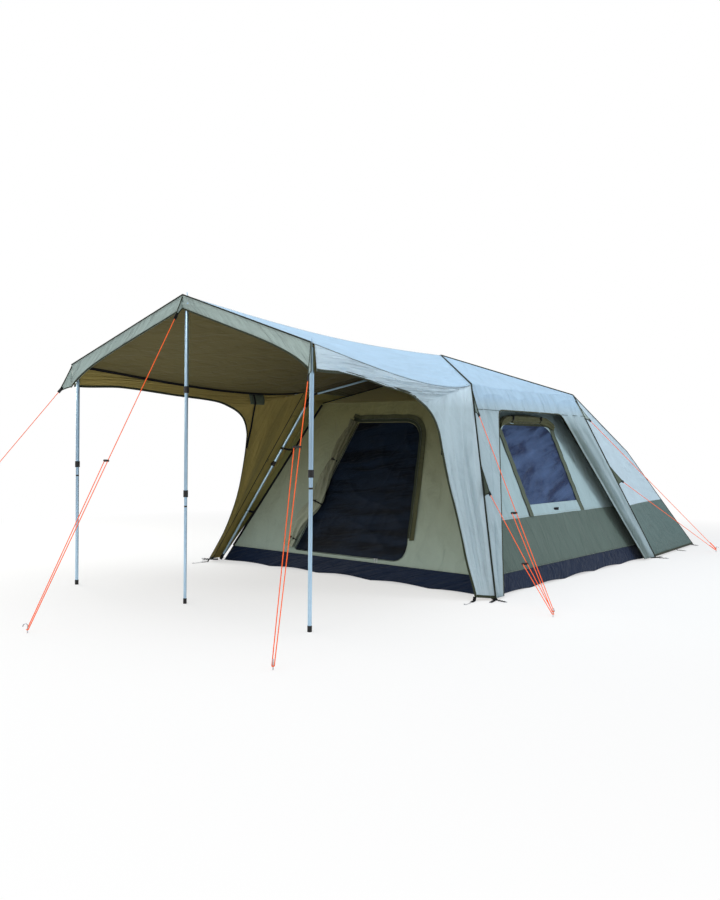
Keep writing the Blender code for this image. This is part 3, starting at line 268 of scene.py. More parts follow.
def braidPaint(name, colour, glow):
    finish, placeOn, cloth, into, bumps = paint(name, 0.72, sheen=0.1, shine=0.15)
    shader = finish.node_tree.nodes["Principled BSDF"]
    # the rope glows a little: painted light to make it read brighter
    shader.inputs["Emission Strength"].default_value = glow
    shader.inputs["Emission Color"].default_value = colour
    left = cloth.dot((1900.0, 3.2, 0)).sine()
    right = cloth.dot((1900.0, -3.2, 0)).sine()
    strands = (left * right).size()
    # the grooves between the strands are painted darker: painted shade in the braid
    deep = tuple(part * 0.7 for part in colour[:3]) + (1,)
    into("Base Color", (strands * 1.4 + placeOn.grain(600, 2) * 0.2).blend(deep, colour))
    into("Normal", bumps(strands, 0.0003, 0.7))
    return finish


looks = {
    # roof canvas: the fly's grey-green tinted blue, a painted reflection of the sky
    "roof": canvasPaint("roofCanvasSkyTinted", rgb(166, 195, 218), 0.80),
    # fly: its top front corner is made paler and bluer as a painted highlight
    "fly": canvasPaint("flyCanvas", rgb(172, 191, 199), dirt=0.25, crinkle=1.8, drawn=(0.12, 0.8),
                       paintedSkyHighlight=rgb(206, 226, 238)),
    # side cover: above 1.56 m it has the roof's painted sky tint, below that the fly's own grey
    "cover": canvasPaint("coverCanvas", rgb(162, 190, 212), bandColour=rgb(160, 180, 188), bandTop=1.56, bandSoft=0.14,
                         dirt=0.25, crinkle=1.6, drawn=(1.5, 0.14), paintedFoldShade=rgb(106, 122, 122)),
    # inside of the wings and covers: the lining's olive, made paler and warmer as painted light shining through the
    # cloth
    "wingLiningLitThrough": canvasPaint("wingLiningLitThrough", rgb(166, 149, 88), 0.9, drawn=(0.2, 1)),
    "lobby": canvasPaint("lobbyCanvas", rgb(184, 205, 217), bandColour=rgb(88, 110, 108), bandTop=0.56, dirt=0.2),
    "valance": canvasPaint("valanceCanvas", rgb(165, 182, 178), crinkle=1.5, drawn=(0.3, 4)),
    # inside of the awning, roof and lobby: partly the lining's own olive, partly painted shade under the fly
    "lining": canvasPaint("flyLiningShaded", rgb(98, 90, 54), 0.9),
    # front wall: darker and warmer towards the top as painted shade and bounce light under the awning, greyer and paler
    # near the floor
    "khaki": canvasPaint("khakiCanvas", rgb(142, 140, 98), 0.9, bandColour=rgb(157, 173, 162), bandTop=0.85,
                         bandSoft=1.3, dirt=0.2),
    # rolled door: darker towards the top, painted shade under the awning as on the wall behind it
    "bundle": canvasPaint("bundleCanvas", rgb(112, 111, 86), 0.9, bandColour=rgb(158, 166, 148), bandTop=0.72,
                          bandSoft=0.9, crinkle=1.8, drawn=(2, 0.3)),
    "wall": canvasPaint("wallCanvas", rgb(160, 184, 190), bandColour=rgb(88, 104, 98), bandTop=0.555, dirt=0.2,
                        crinkle=1.3),
    # inner roof: the walls' khaki cloth made much paler, as painted light
    "ceiling": canvasPaint("ceilingCanvasPaintedLight", rgb(222, 214, 158), 0.9),
    "flap": canvasPaint("flapCanvas", rgb(78, 80, 56), crinkle=1.3),
    "tape": canvasPaint("tapeCanvas", rgb(84, 94, 80), crinkle=0.6),
    "binding": canvasPaint("bindingTape", rgb(50, 56, 42), 0.8, crinkle=0.4),
    "piping": canvasPaint("pipingCord", rgb(34, 40, 32), 0.7, crinkle=0.2),
    # near-black for the painted shadow beside the rolled door
    "paintedShadowDark": plainPaint("paintedShadowStrip", rgb(12, 18, 26), 0.9),
    "doorNet": netPaint("doorNet", rgb(2, 9, 20), rgb(20, 37, 58), 0.92, 0.034, 0.12, 9),
    "windowNet": netPaint("windowNet", rgb(34, 48, 80), rgb(78, 102, 142), 0.97, 0.045, 0.20, 11),
    "vinyl": canvasPaint("tubVinyl", rgb(9, 29, 56), 0.6, crinkle=1.5, drawn=(1, 0.5)),
    "nylon": plainPaint("blackNylon", rgb(16, 16, 18), 0.46, scale=500, shine=0.3),
    "webbing": plainPaint("blackWebbing", rgb(17, 18, 22), 0.8, scale=800, depth=0.0004, shine=0.15),
    "steel": plainPaint("plainSteel", rgb(190, 192, 196), 0.3, 1.0),
    "thread": plainPaint("sewingThread", rgb(150, 156, 146), 0.8),
    "rope": braidPaint("orangeRope", rgb(255, 104, 44), 0.22),
}
print("materials made:", len(looks))


# Camera, light and floor
camera = {
    "place": (5.001, -7.339, 1.203), "azimuth": 39.684, "pitch": -0.481, "roll": 0.510, "lens": 33.910,
}
azimuth, pitch, roll = (math.radians(camera[key]) for key in ("azimuth", "pitch", "roll"))
ahead = Vector((-math.sin(azimuth) * math.cos(pitch), math.cos(azimuth) * math.cos(pitch), math.sin(pitch)))
across = Vector((math.cos(azimuth), math.sin(azimuth), 0))
above = across.cross(ahead)
rightWay = across * math.cos(roll) + above * math.sin(roll)
upWay = above * math.cos(roll) - across * math.sin(roll)
lensData = bpy.data.cameras.new("photoCamera")
lensData.lens, lensData.sensor_width, lensData.sensor_fit = camera["lens"], 36, "AUTO"
lensData.clip_end = 200
photoCamera = bpy.data.objects.new("photoCamera", lensData)
photoCamera.matrix_world = Matrix.Translation(camera["place"]) @ Matrix((rightWay, upWay, -ahead)).transposed().to_4x4()
home.objects.link(photoCamera)
bpy.context.scene.camera = photoCamera
bpy.context.scene.view_settings.view_transform = "Standard"

studio = {
    "sky": 0.44, "skyColour": (0.90, 0.95, 1.0, 1), "topPower": 260.0, "keyPower": 150.0, "sidePower": 190.0,
    "floor": (0.90, 0.90, 0.90, 1),
}
world = bpy.data.worlds.new("studioWorld")
bpy.context.scene.world = world
world.use_nodes = True
skyTree = world.node_tree
skyStart = Val(skyTree, None)
seen = [skyStart.add("ShaderNodeLightPath", {}, {}, spot) for spot in (0, 6)]    # camera, transmission
direct = skyStart.calc("MINIMUM", seen[0] + seen[1], 1.0)
backdrop = skyTree.nodes["Background"]
skyTree.links.new(direct.blend(studio["skyColour"], (1, 1, 1, 1)).socket, backdrop.inputs["Color"])
skyTree.links.new((studio["sky"] + direct * (1 - studio["sky"])).socket, backdrop.inputs["Strength"])

for lampName, place, target, power, width, colour in (
    ("topLamp", (0.5, -1.5, 6.5), (0, -0.8, 0), studio["topPower"], 7.0, (0.95, 0.98, 1.0)),
    ("keyLamp", (1.5, -9.0, 4.5), (0, -1.0, 1.0), studio["keyPower"], 4.0, (1.0, 0.97, 0.92)),
    ("sideLamp", (7.5, 2.5, 3.6), (1.0, -0.6, 1.0), studio["sidePower"], 2.4, (0.96, 0.98, 1.0)),
    ("leftLamp", (-7.0, -3.0, 3.0), (-1.0, -1.5, 1.0), studio["sidePower"] * 1.2, 3.0, (1.0, 0.93, 0.80)),
):
    lampData = bpy.data.lights.new(lampName, "AREA")
    lampData.energy, lampData.size, lampData.color = power, width, colour
    lamp = bpy.data.objects.new(lampName, lampData)
    lamp.location = place
    lamp.rotation_euler = (Vector(target) - Vector(place)).to_track_quat("-Z", "Y").to_euler()
    home.objects.link(lamp)

floorMesh = bpy.data.meshes.new("studioFloor")
floorShape = bmesh.new()
bmesh.ops.create_grid(floorShape, x_segments=1, y_segments=1, size=60)
floorShape.to_mesh(floorMesh)
floorShape.free()
studioFloor = bpy.data.objects.new("studioFloor", floorMesh)
home.objects.link(studioFloor)
floorPaint = bpy.data.materials.new("studioFloor")
floorPaint.use_nodes = True
floorTree = floorPaint.node_tree
floorStart = Val(floorTree, None)
floorPlace = floorStart.add("ShaderNodeTexCoord", {}, {}, 3)
away = floorStart.add("ShaderNodeVectorMath", {"operation": "LENGTH"}, {0: floorPlace.scaled((1, 1, 0))}, 1)
fade = away.calc("MULTIPLY", away - 3.6, 0.30, True)
glow = floorStart.add("ShaderNodeEmission", {}, {"Color": (1, 1, 1, 1), "Strength": 1.0})
matte = Val(floorTree, floorTree.nodes["Principled BSDF"].outputs[0])
floorTree.nodes["Principled BSDF"].inputs["Base Color"].default_value = studio["floor"]
floorTree.nodes["Principled BSDF"].inputs["Roughness"].default_value = 0.9
sight = floorStart.add("ShaderNodeLightPath", {}, {}, 0)
whiten = (0.55 + fade * 0.45) * sight
mixed = floorStart.add("ShaderNodeMixShader", {}, {0: whiten, 1: matte, 2: glow})
floorTree.links.new(mixed.socket, floorTree.nodes["Material Output"].inputs["Surface"])
floorMesh.materials.append(floorPaint)
print("camera, lamps and floor set")


# Mesh helpers
def mixed3(first, second, share):
    return first + (second - first) * share


def crinkled(place, scale, seed=0.0):
    return noise.noise(Vector(place) * scale + Vector((seed, seed * 0.7, -seed)))


def meshPiece(name, verts, faces, look, uvs=None, smooth=True):
    mesh = bpy.data.meshes.new(name)
    mesh.from_pydata([tuple(vert) for vert in verts], [], faces)
    if uvs:
        layer = mesh.uv_layers.new(name="cloth")
        for loop in mesh.loops:
            layer.data[loop.index].uv = uvs[loop.vertex_index]
    if smooth:
        mesh.shade_smooth()
    mesh.materials.append(look)
    piece = bpy.data.objects.new(name, mesh)
    home.objects.link(piece)
    return piece


def rowsOf(place, columns, rows):
    return [[Vector(place(u, v)) for u in spread(columns)] for v in spread(rows)]


def normalsOf(points, ring=False):
    rows, columns = len(points), len(points[0])
    normals = []
    for row in range(rows):
        line = []
        for column in range(columns):
            near = points[row][column - 1] if column or ring else points[row][column]
            far = points[row][(column + 1) % columns] if column + 1 < columns or ring else points[row][column]
            low, high = points[max(row - 1, 0)][column], points[min(row + 1, rows - 1)][column]
            normal = (far - near).cross(high - low)
            line.append(normal.normalized() if normal.length > 1e-12 else Vector((0, 0, 1)))
        normals.append(line)
    return normals


def clothGrid(points, outward, ripple=None, ring=False):
    # normals turned outwards, then each point moved along its normal by ripple(u, v, place)
    normals = normalsOf(points, ring)
    rows, columns = len(points), len(points[0])
    middle = points[rows // 2][columns // 3]
    flip = normals[rows // 2][columns // 3].dot(outward(middle)) < 0
    if flip:
        normals = [[-normal for normal in line] for line in normals]
    if ripple:
        points = [[point + normals[row][column] * ripple(column / (columns - 1), row / (rows - 1), point)
                   for column, point in enumerate(line)] for row, line in enumerate(points)]
    return points, normals, flip


def clothMesh(name, points, flip, outside, inside, thickness=0.0016, ring=False, shift=0.0):
    rows, columns = len(points), len(points[0])
    count = columns if ring else columns - 1
    uvs, upLengths = [], [0.0] * columns
    for row in range(rows):
        run = 0.0
        for column in range(columns):
            if column:
                run += (points[row][column] - points[row][column - 1]).length
            if row:
                upLengths[column] += (points[row][column] - points[row - 1][column]).length
            uvs.append((run, upLengths[column]))
    faces = []
    for row in range(rows - 1):
        for column in range(count):
            a, b = row * columns + column, row * columns + (column + 1) % columns
            face = (a, b, b + columns, a + columns)
            faces.append(face[::-1] if flip else face)
    piece = meshPiece(name, [point for line in points for point in line], faces, outside, uvs)
    weld(piece)
    piece.data.materials.append(inside)
    skin = piece.modifiers.new("skin", "SOLIDIFY")
    skin.thickness, skin.offset, skin.use_even_offset = thickness, 1 - 2 * shift, False
    skin.material_offset = 1
    return piece


def weld(piece, distance=0.00002):
    shape = bmesh.new()
    shape.from_mesh(piece.data)
    bmesh.ops.remove_doubles(shape, verts=shape.verts, dist=distance)
    shape.to_mesh(piece.data)
    shape.free()


def spotOn(grid, row, column):
    low, left = min(int(row), len(grid) - 2), min(int(column), len(grid[0]) - 2)
    near, far = row - low, column - left
    return mixed3(mixed3(grid[low][left], grid[low][left + 1], far),
                  mixed3(grid[low + 1][left], grid[low + 1][left + 1], far), near)


def layerOn(name, grid, normals, rows, columns, look, lift, flip, thickness=0.0016, steps=4):
    # a tape or hem that follows the cloth under it, between fractional rows and columns
    count = max(2, int(abs(columns[1] - columns[0])))
    points = [[spotOn(grid, row, column) + spotOn(normals, row, column) * lift
               for column in spread(count, columns[0], columns[1] - columns[0])]
              for row in spread(steps, rows[0], rows[1] - rows[0])]
    piece = clothMesh(name, points, flip, looks[look], looks[look], thickness, shift=0.5)
    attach(piece, "tent")


def hang(piece, nodes, width, length, held, area=None, rests=()):
    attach(piece, frameBody(nodes[0]))
    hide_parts(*nodes)
    list(rests)
    return piece


def frameBody(node):
    for body, members in frame["record"]["behaviour"]["bodies"].items():
        if node in members:
            return body
    return "tent"


# Geometry Nodes trees for what follows a line
def newTree(name, sockets):
    tree = bpy.data.node_groups.new(name, "GeometryNodeTree")
    tree.interface.new_socket("Geometry", in_out="INPUT", socket_type="NodeSocketGeometry")
    tree.interface.new_socket("Geometry", in_out="OUTPUT", socket_type="NodeSocketGeometry")
    for label, kind in sockets:
        tree.interface.new_socket(label, in_out="INPUT", socket_type="NodeSocket" + kind)
    return tree, tree.nodes.new("NodeGroupInput"), tree.nodes.new("NodeGroupOutput")


def step(tree, kind, settings=None, inputs=None):
    node = tree.nodes.new(kind)
    for key, value in (settings or {}).items():
        setattr(node, key, value)
    for key, value in (inputs or {}).items():
        if isinstance(value, bpy.types.NodeSocket):
            tree.links.new(value, node.inputs[key])
        else:
            node.inputs[key].default_value = value
    return node


def finishTree(tree, given, result, geometry):
    real = step(tree, "GeometryNodeRealizeInstances", {}, {"Geometry": geometry})
    dressed = step(tree, "GeometryNodeSetMaterial", {}, {
        "Geometry": real.outputs[0], "Material": given.outputs["Material"]})
    tree.links.new(dressed.outputs[0], result.inputs[0])


def makeCordTree():       # round cord or piping along each line
    tree, given, result = newTree("pipingAlongLine", [("Radius", "Float"), ("Sides", "Int"), ("Material", "Material")])
    ring = step(tree, "GeometryNodeCurvePrimitiveCircle", {}, {
        "Resolution": given.outputs["Sides"], "Radius": given.outputs["Radius"]})
    swept = step(tree, "GeometryNodeCurveToMesh", {}, {
        "Curve": given.outputs["Geometry"], "Profile Curve": ring.outputs[0], "Fill Caps": True})
    smooth = step(tree, "GeometryNodeSetShadeSmooth", {}, {"Geometry": swept.outputs[0]})
    finishTree(tree, given, result, smooth.outputs[0])
    return tree


def repeatAlong(tree, given, result, shape):
    dots = step(tree, "GeometryNodeCurveToPoints", {"mode": "LENGTH"}, {
        "Curve": given.outputs["Geometry"], "Length": given.outputs["Pitch"]})
    turned = step(tree, "FunctionNodeAlignRotationToVector", {"axis": "Z"}, {"Vector": dots.outputs["Tangent"]})
    laid = step(tree, "GeometryNodeInstanceOnPoints", {}, {
        "Points": dots.outputs["Points"], "Instance": shape.outputs["Mesh"], "Rotation": turned.outputs[0]})
    finishTree(tree, given, result, laid.outputs[0])
    return tree


def makeStitchTree():     # a row of small stitches along each line
    tree, given, result = newTree("stitchesAlongLine", [
        ("Pitch", "Float"), ("Length", "Float"), ("Radius", "Float"), ("Material", "Material")])
    return repeatAlong(tree, given, result, step(tree, "GeometryNodeMeshCylinder", {}, {
        "Vertices": 5, "Radius": given.outputs["Radius"], "Depth": given.outputs["Length"]}))


def makeTeethTree():      # zip teeth, standing square to the line
    tree, given, result = newTree("teethAlongLine", [
        ("Pitch", "Float"), ("Width", "Float"), ("Height", "Float"), ("Material", "Material")])
    extent = step(tree, "ShaderNodeCombineXYZ", {}, {
        0: given.outputs["Width"], 1: given.outputs["Height"], 2: given.outputs["Height"]})
    return repeatAlong(tree, given, result, step(tree, "GeometryNodeMeshCube", {}, {"Size": extent.outputs[0]}))


cordTree, stitchTree, teethTree = makeCordTree(), makeStitchTree(), makeTeethTree()


def alongLines(name, lines, tree, values, look):
    data = bpy.data.curves.new(name, "CURVE")
    data.dimensions = "3D"
    for line in lines:
        run = data.splines.new("POLY")
        run.points.add(len(line) - 1)
        for point, place in zip(run.points, line):
            point.co = (*place, 1)
    source = bpy.data.objects.new(name + "Line", data)
    home.objects.link(source)
    nodes = source.modifiers.new("nodes", "NODES")
    nodes.node_group = tree
    sockets = {item.name: item.identifier for item in tree.interface.items_tree if item.in_out == "INPUT"}
    for label, value in {**values, "Material": look}.items():
        nodes[sockets[label]] = value
    bpy.context.view_layer.update()
    mesh = bpy.data.meshes.new_from_object(source.evaluated_get(bpy.context.evaluated_depsgraph_get()))
    mesh.name = name
    piece = bpy.data.objects.new(name, mesh)
    home.objects.link(piece)
    source.modifiers.clear()
    bpy.data.objects.remove(source, do_unlink=True)
    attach(piece, "tent")


def piping(name, lines, radius, look="piping", sides=8):
    alongLines(name, lines, cordTree, {"Radius": radius, "Sides": sides}, looks[look])


sewing = {"pitch": 0.0085, "length": 0.0055, "radius": 0.0008}


def stitches(name, lines):
    alongLines(name, lines, stitchTree, {
        "Pitch": sewing["pitch"], "Length": sewing["length"], "Radius": sewing["radius"]}, looks["thread"])


def softShade(mesh, degrees):
    mesh.shade_smooth()
    mesh.set_sharp_from_angle(angle=math.radians(degrees))


def dressNode(node, look):
    mesh = cadNodes[node].data
    mesh.materials.clear()
    mesh.materials.append(look)
    softShade(mesh, 35)


def band(name, line, normals, width, look, side, thickness=0.0035, shift=0.0, lift=0.0):
    # a flat tape along a line: it lies between shift and shift + width, sideways in the surface
    count = len(line)
    verts, faces, uvs, run = [], [], [], 0.0
    for index, here in enumerate(line):
        along = (line[min(index + 1, count - 1)] - line[max(index - 1, 0)]).normalized()
        normal = normals[index]
        sideways = normal.cross(along).normalized()
        if sideways.dot(side[index] if isinstance(side, list) else side) < 0:
            sideways = -sideways
        if index:
            run += (here - line[index - 1]).length
        for out, high in ((shift, 0), (shift + width, 0), (shift + width, 1), (shift, 1)):
            verts.append(here + sideways * out + normal * (lift + (high - 0.5) * thickness))
            uvs.append((run, out + high * thickness))
    for index in range(count - 1):
        a, b = index * 4, (index + 1) * 4
        for corner in range(4):
            after = (corner + 1) % 4
            faces.append((a + corner, a + after, b + after, b + corner))
    faces += [(0, 1, 2, 3), tuple(range(count * 4 - 1, count * 4 - 5, -1))]
    piece = meshPiece(name, verts, faces, looks[look], uvs, False)
    shape = bmesh.new()
    shape.from_mesh(piece.data)
    bmesh.ops.recalc_face_normals(shape, faces=shape.faces)
    shape.to_mesh(piece.data)
    shape.free()
    soften = piece.modifiers.new("edges", "BEVEL")
    soften.width, soften.segments, soften.limit_method = thickness * 0.3, 2, "ANGLE"
    softShade(piece.data, 50)
    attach(piece, "tent")
    return piece


def tubeMesh(points, radius, sides=10):
    verts, faces, uvs, run = [], [], [], 0.0
    square = Vector((0, 0, 1))
    for index, here in enumerate(points):
        along = (points[min(index + 1, len(points) - 1)] - points[max(index - 1, 0)]).normalized()
        square = (square - along * square.dot(along))
        square = square.normalized() if square.length > 1e-6 else along.orthogonal().normalized()
        other = along.cross(square)
        if index:
            run += (here - points[index - 1]).length
        for turn in range(sides):
            angle = 2 * math.pi * turn / sides
            verts.append(here + (square * math.cos(angle) + other * math.sin(angle)) * radius)
            uvs.append((run, turn / sides * 2 * math.pi))
    for index in range(len(points) - 1):
        for turn in range(sides):
            a, b = index * sides + turn, index * sides + (turn + 1) % sides
            faces.append((a, b, b + sides, a + sides))
    faces += [tuple(range(sides))[::-1], tuple(range((len(points) - 1) * sides, len(points) * sides))]
    return verts, faces, uvs


def shapedBlock(name, size3, place, xWay, yWay, look, bevel, taper=1.0):
    x = Vector(xWay).normalized()
    z = x.cross(Vector(yWay)).normalized()
    y = z.cross(x)
    shape = bmesh.new()
    bmesh.ops.create_cube(shape, size=1)
    for vert in shape.verts:
        squeeze = taper if vert.co.x > 0 else 1
        vert.co = Vector((vert.co.x * size3[0], vert.co.y * size3[1] * squeeze, vert.co.z * size3[2]))
    bmesh.ops.bevel(shape, geom=list(shape.edges), offset=min(bevel, min(size3) * 0.45), segments=3,
                    affect="EDGES", profile=0.5)
    turned = Matrix.Translation(place) @ Matrix((x, y, z)).transposed().to_4x4()
    bmesh.ops.transform(shape, matrix=turned, verts=shape.verts)
    mesh = bpy.data.meshes.new(name)
    shape.to_mesh(mesh)
    shape.free()
    softShade(mesh, 40)
    mesh.materials.append(looks[look])
    piece = bpy.data.objects.new(name, mesh)
    home.objects.link(piece)
    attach(piece, "tent")
    return piece


# The seams that the canvas hangs on
def legSeam(side, end, share):
    foot = Vector((side * size["foot"], end * size["foot"], size["hem"]))
    eave = Vector((side * size["eave"], end * size["eave"], size["eaveHeight"]))
    return mixed3(foot, eave, share)


def seamAt(side, end, height):
    return legSeam(side, end, (height - size["hem"]) / (size["eaveHeight"] - size["hem"]))


def reachAt(height):      # half of the fly's width at this height
    return size["foot"] + (size["eave"] - size["foot"]) * (height - size["hem"]) / (size["eaveHeight"] - size["hem"])


def awningEave(side, share):
    corner = Vector((side * size["awningHalf"], -size["awningFront"], size["awningEave"]))
    line = mixed3(legSeam(side, -1, 1), corner, share)
    line.z -= size["eaveSag"] * math.sin(math.pi * max(share, 0) ** 0.7)
    return line


def awningRidge(share):
    line = mixed3(Vector((0, 0, size["peak"])), Vector((0, -size["ridgeFront"], size["awningPeak"])), share)
    line.z -= size["ridgeSag"] * math.sin(math.pi * share)
    return line


# Guy ropes
guys = {
    "pegs": {
        "awning_left": (-2.32, -4.42, 0), "awning_ridge": (0.047, -4.597, 0), "awning_right": (1.804, -4.189, 0),
        "front": (2.274, -1.927, 0), "rear": (1.978, 2.651, 0),
    },
    "pegHeight": 0.060, "pegRadius": 0.0032, "gap": 0.0003, "turnGap": 0.0004, "ropeRadius": 0.0030,
    "loop": 0.018, "runner": 0.010, "low": 0.35, "high": 0.62, "tail": 0.12, "turns": 6, "routeStep": 0.08,
    "tabHeights": {"high": 1.57, "low": 0.90}, "legTab": 0.160, "cornerTab": 0.150, "ridgeTab": 0.130,
    "onCloth": 0.0015,
}


def tabTip(base, peg, length):
    return base + (Vector(guys["pegs"][peg]) - base).normalized() * length


def cornerTab(side):
    base = Vector((side * (size["awningHalf"] - 0.003), -size["awningFront"] - guys["onCloth"],
                   size["awningEave"] - size["cornerValance"] / 2))
    return base, tabTip(base, "awning_left" if side < 0 else "awning_right", guys["cornerTab"])


def ridgeTab():
    base = Vector((0, -size["ridgeFront"] - guys["onCloth"], size["awningPeak"] - size["valance"] / 2))
    return base, tabTip(base, "awning_ridge", guys["ridgeTab"])


def legTab(side, end, level):
    out = Vector((size["eaveHeight"] - size["hem"], 0, size["foot"] - size["eave"])).normalized() * guys["onCloth"]
    base = seamAt(1, end, guys["tabHeights"][level]) - Vector((0, end * 0.012, 0)) + out
    tip = tabTip(base, "front" if end < 0 else "rear", guys["legTab"])
    return Vector((side * base.x, base.y, base.z)), Vector((side * tip.x, tip.y, tip.z))


ropeRuns = {
    "awning_left": (cornerTab(-1)[1], "awning_left", "low", 0.39),
    "awning_ridge": (ridgeTab()[1], "awning_ridge", "low", 0.50),
    "awning_right": (cornerTab(1)[1], "awning_right", "low", 0.27),
    "front_high": (legTab(1, -1, "high")[1], "front", "high", 0.55),
    "front_low": (legTab(1, -1, "low")[1], "front", "low", 0.62),
    "rear_high": (legTab(1, 1, "high")[1], "rear", "high", None),
    "rear_low": (legTab(1, 1, "low")[1], "rear", "low", None),
}
for label, (tip, pegName, level, runnerShare) in ropeRuns.items():
    peg = Vector(guys["pegs"][pegName])
    neck = peg + Vector((0, 0, guys["pegHeight"] * guys[level]))
    run = (neck - tip).normalized()
    sideways = run.cross(Vector((0, 0, 1))).normalized()
    onward = Vector((run.x, run.y, 0)).normalized()
    turn = guys["pegRadius"] + guys["ropeRadius"] + guys["turnGap"]
    bend = [neck + (onward * math.sin(angle) - sideways * math.cos(angle)) * turn
            for angle in spread(guys["turns"], 0.0, math.pi)]
    start = tip + run * guys["gap"]
    if runnerShare:
        seat = mixed3(start, bend[0], runnerShare)
        line = (bend[0] - start).normalized()
        back = seat + sideways * 2 * guys["loop"] + line * (guys["runner"] / 2 + guys["gap"])
        strands = [("rope_", [start, seat, mixed3(seat, bend[0], 0.5)] + bend, "peg_" + pegName),
                   ("ropeReturn_", [bend[-1], back], "runner_" + label)]
    else:
        tail = bend[-1] - run * guys["tail"]
        strands = [("rope_", [start, mixed3(start, bend[0], 0.5)] + bend + [tail], "peg_" + pegName)]
    for name, corners, fitting in strands:
        length = sum((b - a).length for a, b in zip(corners, corners[1:]))
        route = []
        for a, b in zip(corners, corners[1:]):
            pieces = max(1, int((b - a).length / guys["routeStep"]))
            route += [mixed3(a, b, k / pieces) for k in range(pieces)]
        route.append(corners[-1])
        verts, faces, uvs = tubeMesh(route, guys["ropeRadius"], 10)
        rope = meshPiece(name + label, verts, faces, looks["rope"], uvs)
        if name == "rope_":
            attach(rope, "tent")
        else:                                    # the strand back to the runner; in the tent it grows and shrinks as the runner slides
            "runner_" + label
            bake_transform(rope)
        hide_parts("guy_rope_" + label)
print("ropes laid:", len(ropeRuns))


# Awning: two slopes, the front valance and its tabs
awning = {"columns": 144, "rows": 84, "valanceRows": 10}
canopyShare = awning["rows"] / (awning["rows"] + awning["valanceRows"])


def awningPlace(u, v):
    side = -1 if u < 0.5 else 1
    out = abs(2 * u - 1)
    along = 0.00025 + min(v / canopyShare, 1) * 0.99975
    place = mixed3(awningRidge(along), awningEave(side, along), out)
    place.x *= 0.9998
    hangDown = max(v - canopyShare, 0) / (1 - canopyShare)
    place.z -= hangDown * (size["valance"] + (size["cornerValance"] - size["valance"]) * out ** 8)
    return place


def awningRipple(u, v, place):
    out = abs(2 * u - 1)
    along = min(v / canopyShare, 1)
    lift = 0.005 * crinkled(place, 2.2, 3.0) + 0.0025 * crinkled(place, 9.0, 5.0)
    frontCorner = Vector((math.copysign(size["awningHalf"], place.x), -size["awningFront"], size["awningEave"]))
    reach = (place - frontCorner).length
    turn = math.atan2(abs(frontCorner.x) - abs(place.x), place.y - frontCorner.y)
    lift += 0.010 * math.exp(-reach / 0.45) * math.sin(turn * 11) * min(reach / 0.1, 1)
    elbow = legSeam(math.copysign(1, place.x), -1, 1)
    reach = (place - elbow).length
    turn = math.atan2(abs(elbow.x) - abs(place.x), elbow.y - place.y)
    lift += 0.009 * math.exp(-reach / 0.5) * math.sin(turn * 12) * min(reach / 0.1, 1)
    if v > canopyShare:                       # folded creases along the valance
        down = (v - canopyShare) / (1 - canopyShare)
        slant = 5.5 * down + 9 * out + 2.2 * crinkled(place, 4.0, 2.0)
        crest = 1 - abs(math.sin(slant * 0.8))
        lift = (0.0100 * crest ** 1.6 - 0.0035) * math.sin(math.pi * down) ** 0.6
        lift += 0.0016 * math.sin(3.1 * slant + 1) * math.sin(math.pi * down)
        return lift + 0.004 * crinkled(place, 3.0, 8.0) * down
    return lift * min(along * 12, 1) * min((1 - along) * 14, 1) * min((1 - out) * 10 + 0.1, 1) * min(out * 16 + 0.1, 1)


points = rowsOf(awningPlace, awning["columns"], awning["rows"] + awning["valanceRows"])
awningPoints, awningNormals, awningFlip = clothGrid(points, lambda p: Vector((0, -0.2, 1)), awningRipple)
awningSheet = clothMesh("awningSheet", awningPoints, awningFlip, looks["roof"], looks["lining"])
awningSheet.data.materials.append(looks["valance"])
awningSheet.data.materials.append(looks["lining"])
for face in awningSheet.data.polygons:        # the valance is greyer: it keeps the fly's own grey, without the painted sky tint of the slopes
    if abs(face.normal.z) < 0.6 and face.center.y < -size["ridgeFront"] + 0.03:
        face.material_index = 2
hang(awningSheet, ["fly_awning"], 3.0, 3.6, "stretched", area=7.2,
     rests=["awning_pole_upper_left", "awning_pole_upper_right", "awning_pole_upper_centre"])
print("awning made")

# Roof over the cabin
roof = {"columns": 120, "rows": 60, "sag": 0.030, "round": 0.26, "turn": math.radians(47.7), "easeIn": 0.45,
        "slope": (0.9304, 0.3666), "slopeLength": 1.075}


def eaved(place, away, normal, distance):
    # between the elbows the fly turns softly over the eave; both panels meet in the middle of the arc
    ease = min(max((1 - abs(place.y)) / roof["easeIn"], 0), 1)
    radius, half = roof["round"] * ease * ease * (3 - 2 * ease), roof["turn"] / 2
    reach = radius * math.tan(half)
    if distance >= reach:
        return place
    angle = (1 - distance / reach) * half
    moved = place + Vector(away) * (reach - radius * math.sin(angle) - distance)
    return moved - Vector(normal) * radius * (1 - math.cos(angle))


def roofPlace(u, v):
    corners = [legSeam(a, b, 1) for a, b in cornerSigns]
    run = (0.0003 + u * 0.9994) * 3
    index = min(int(run), 2)
    share = run - index
    eave = mixed3(corners[index], corners[index + 1], share)
    place = mixed3(eave, Vector((0, 0.0003, size["peak"])), 0.0003 + v * 0.9997)
    place.z -= roof["sag"] * 16 * share * (1 - share) * v * (1 - v) ** 2
    if index != 1:
        side, run = 1 - index, Vector((place.x, 2 * share - 1, place.z))
        level, rise = roof["slope"]
        turned = eaved(run, (-side * level, 0, rise), (side * rise, 0, level), v * roof["slopeLength"])
        place.x, place.z = turned.x, turned.z
    return place


def roofRipple(u, v, place):
    share = (u * 3) % 1
    edge = min(share, 1 - share)
    lift = 0.003 * crinkled(place, 2.6, 1.0) + 0.0015 * crinkled(place, 9.0, 2.0)
    return lift * min(edge * 12, 1) * min(v * 14, 1) * (1 - v)


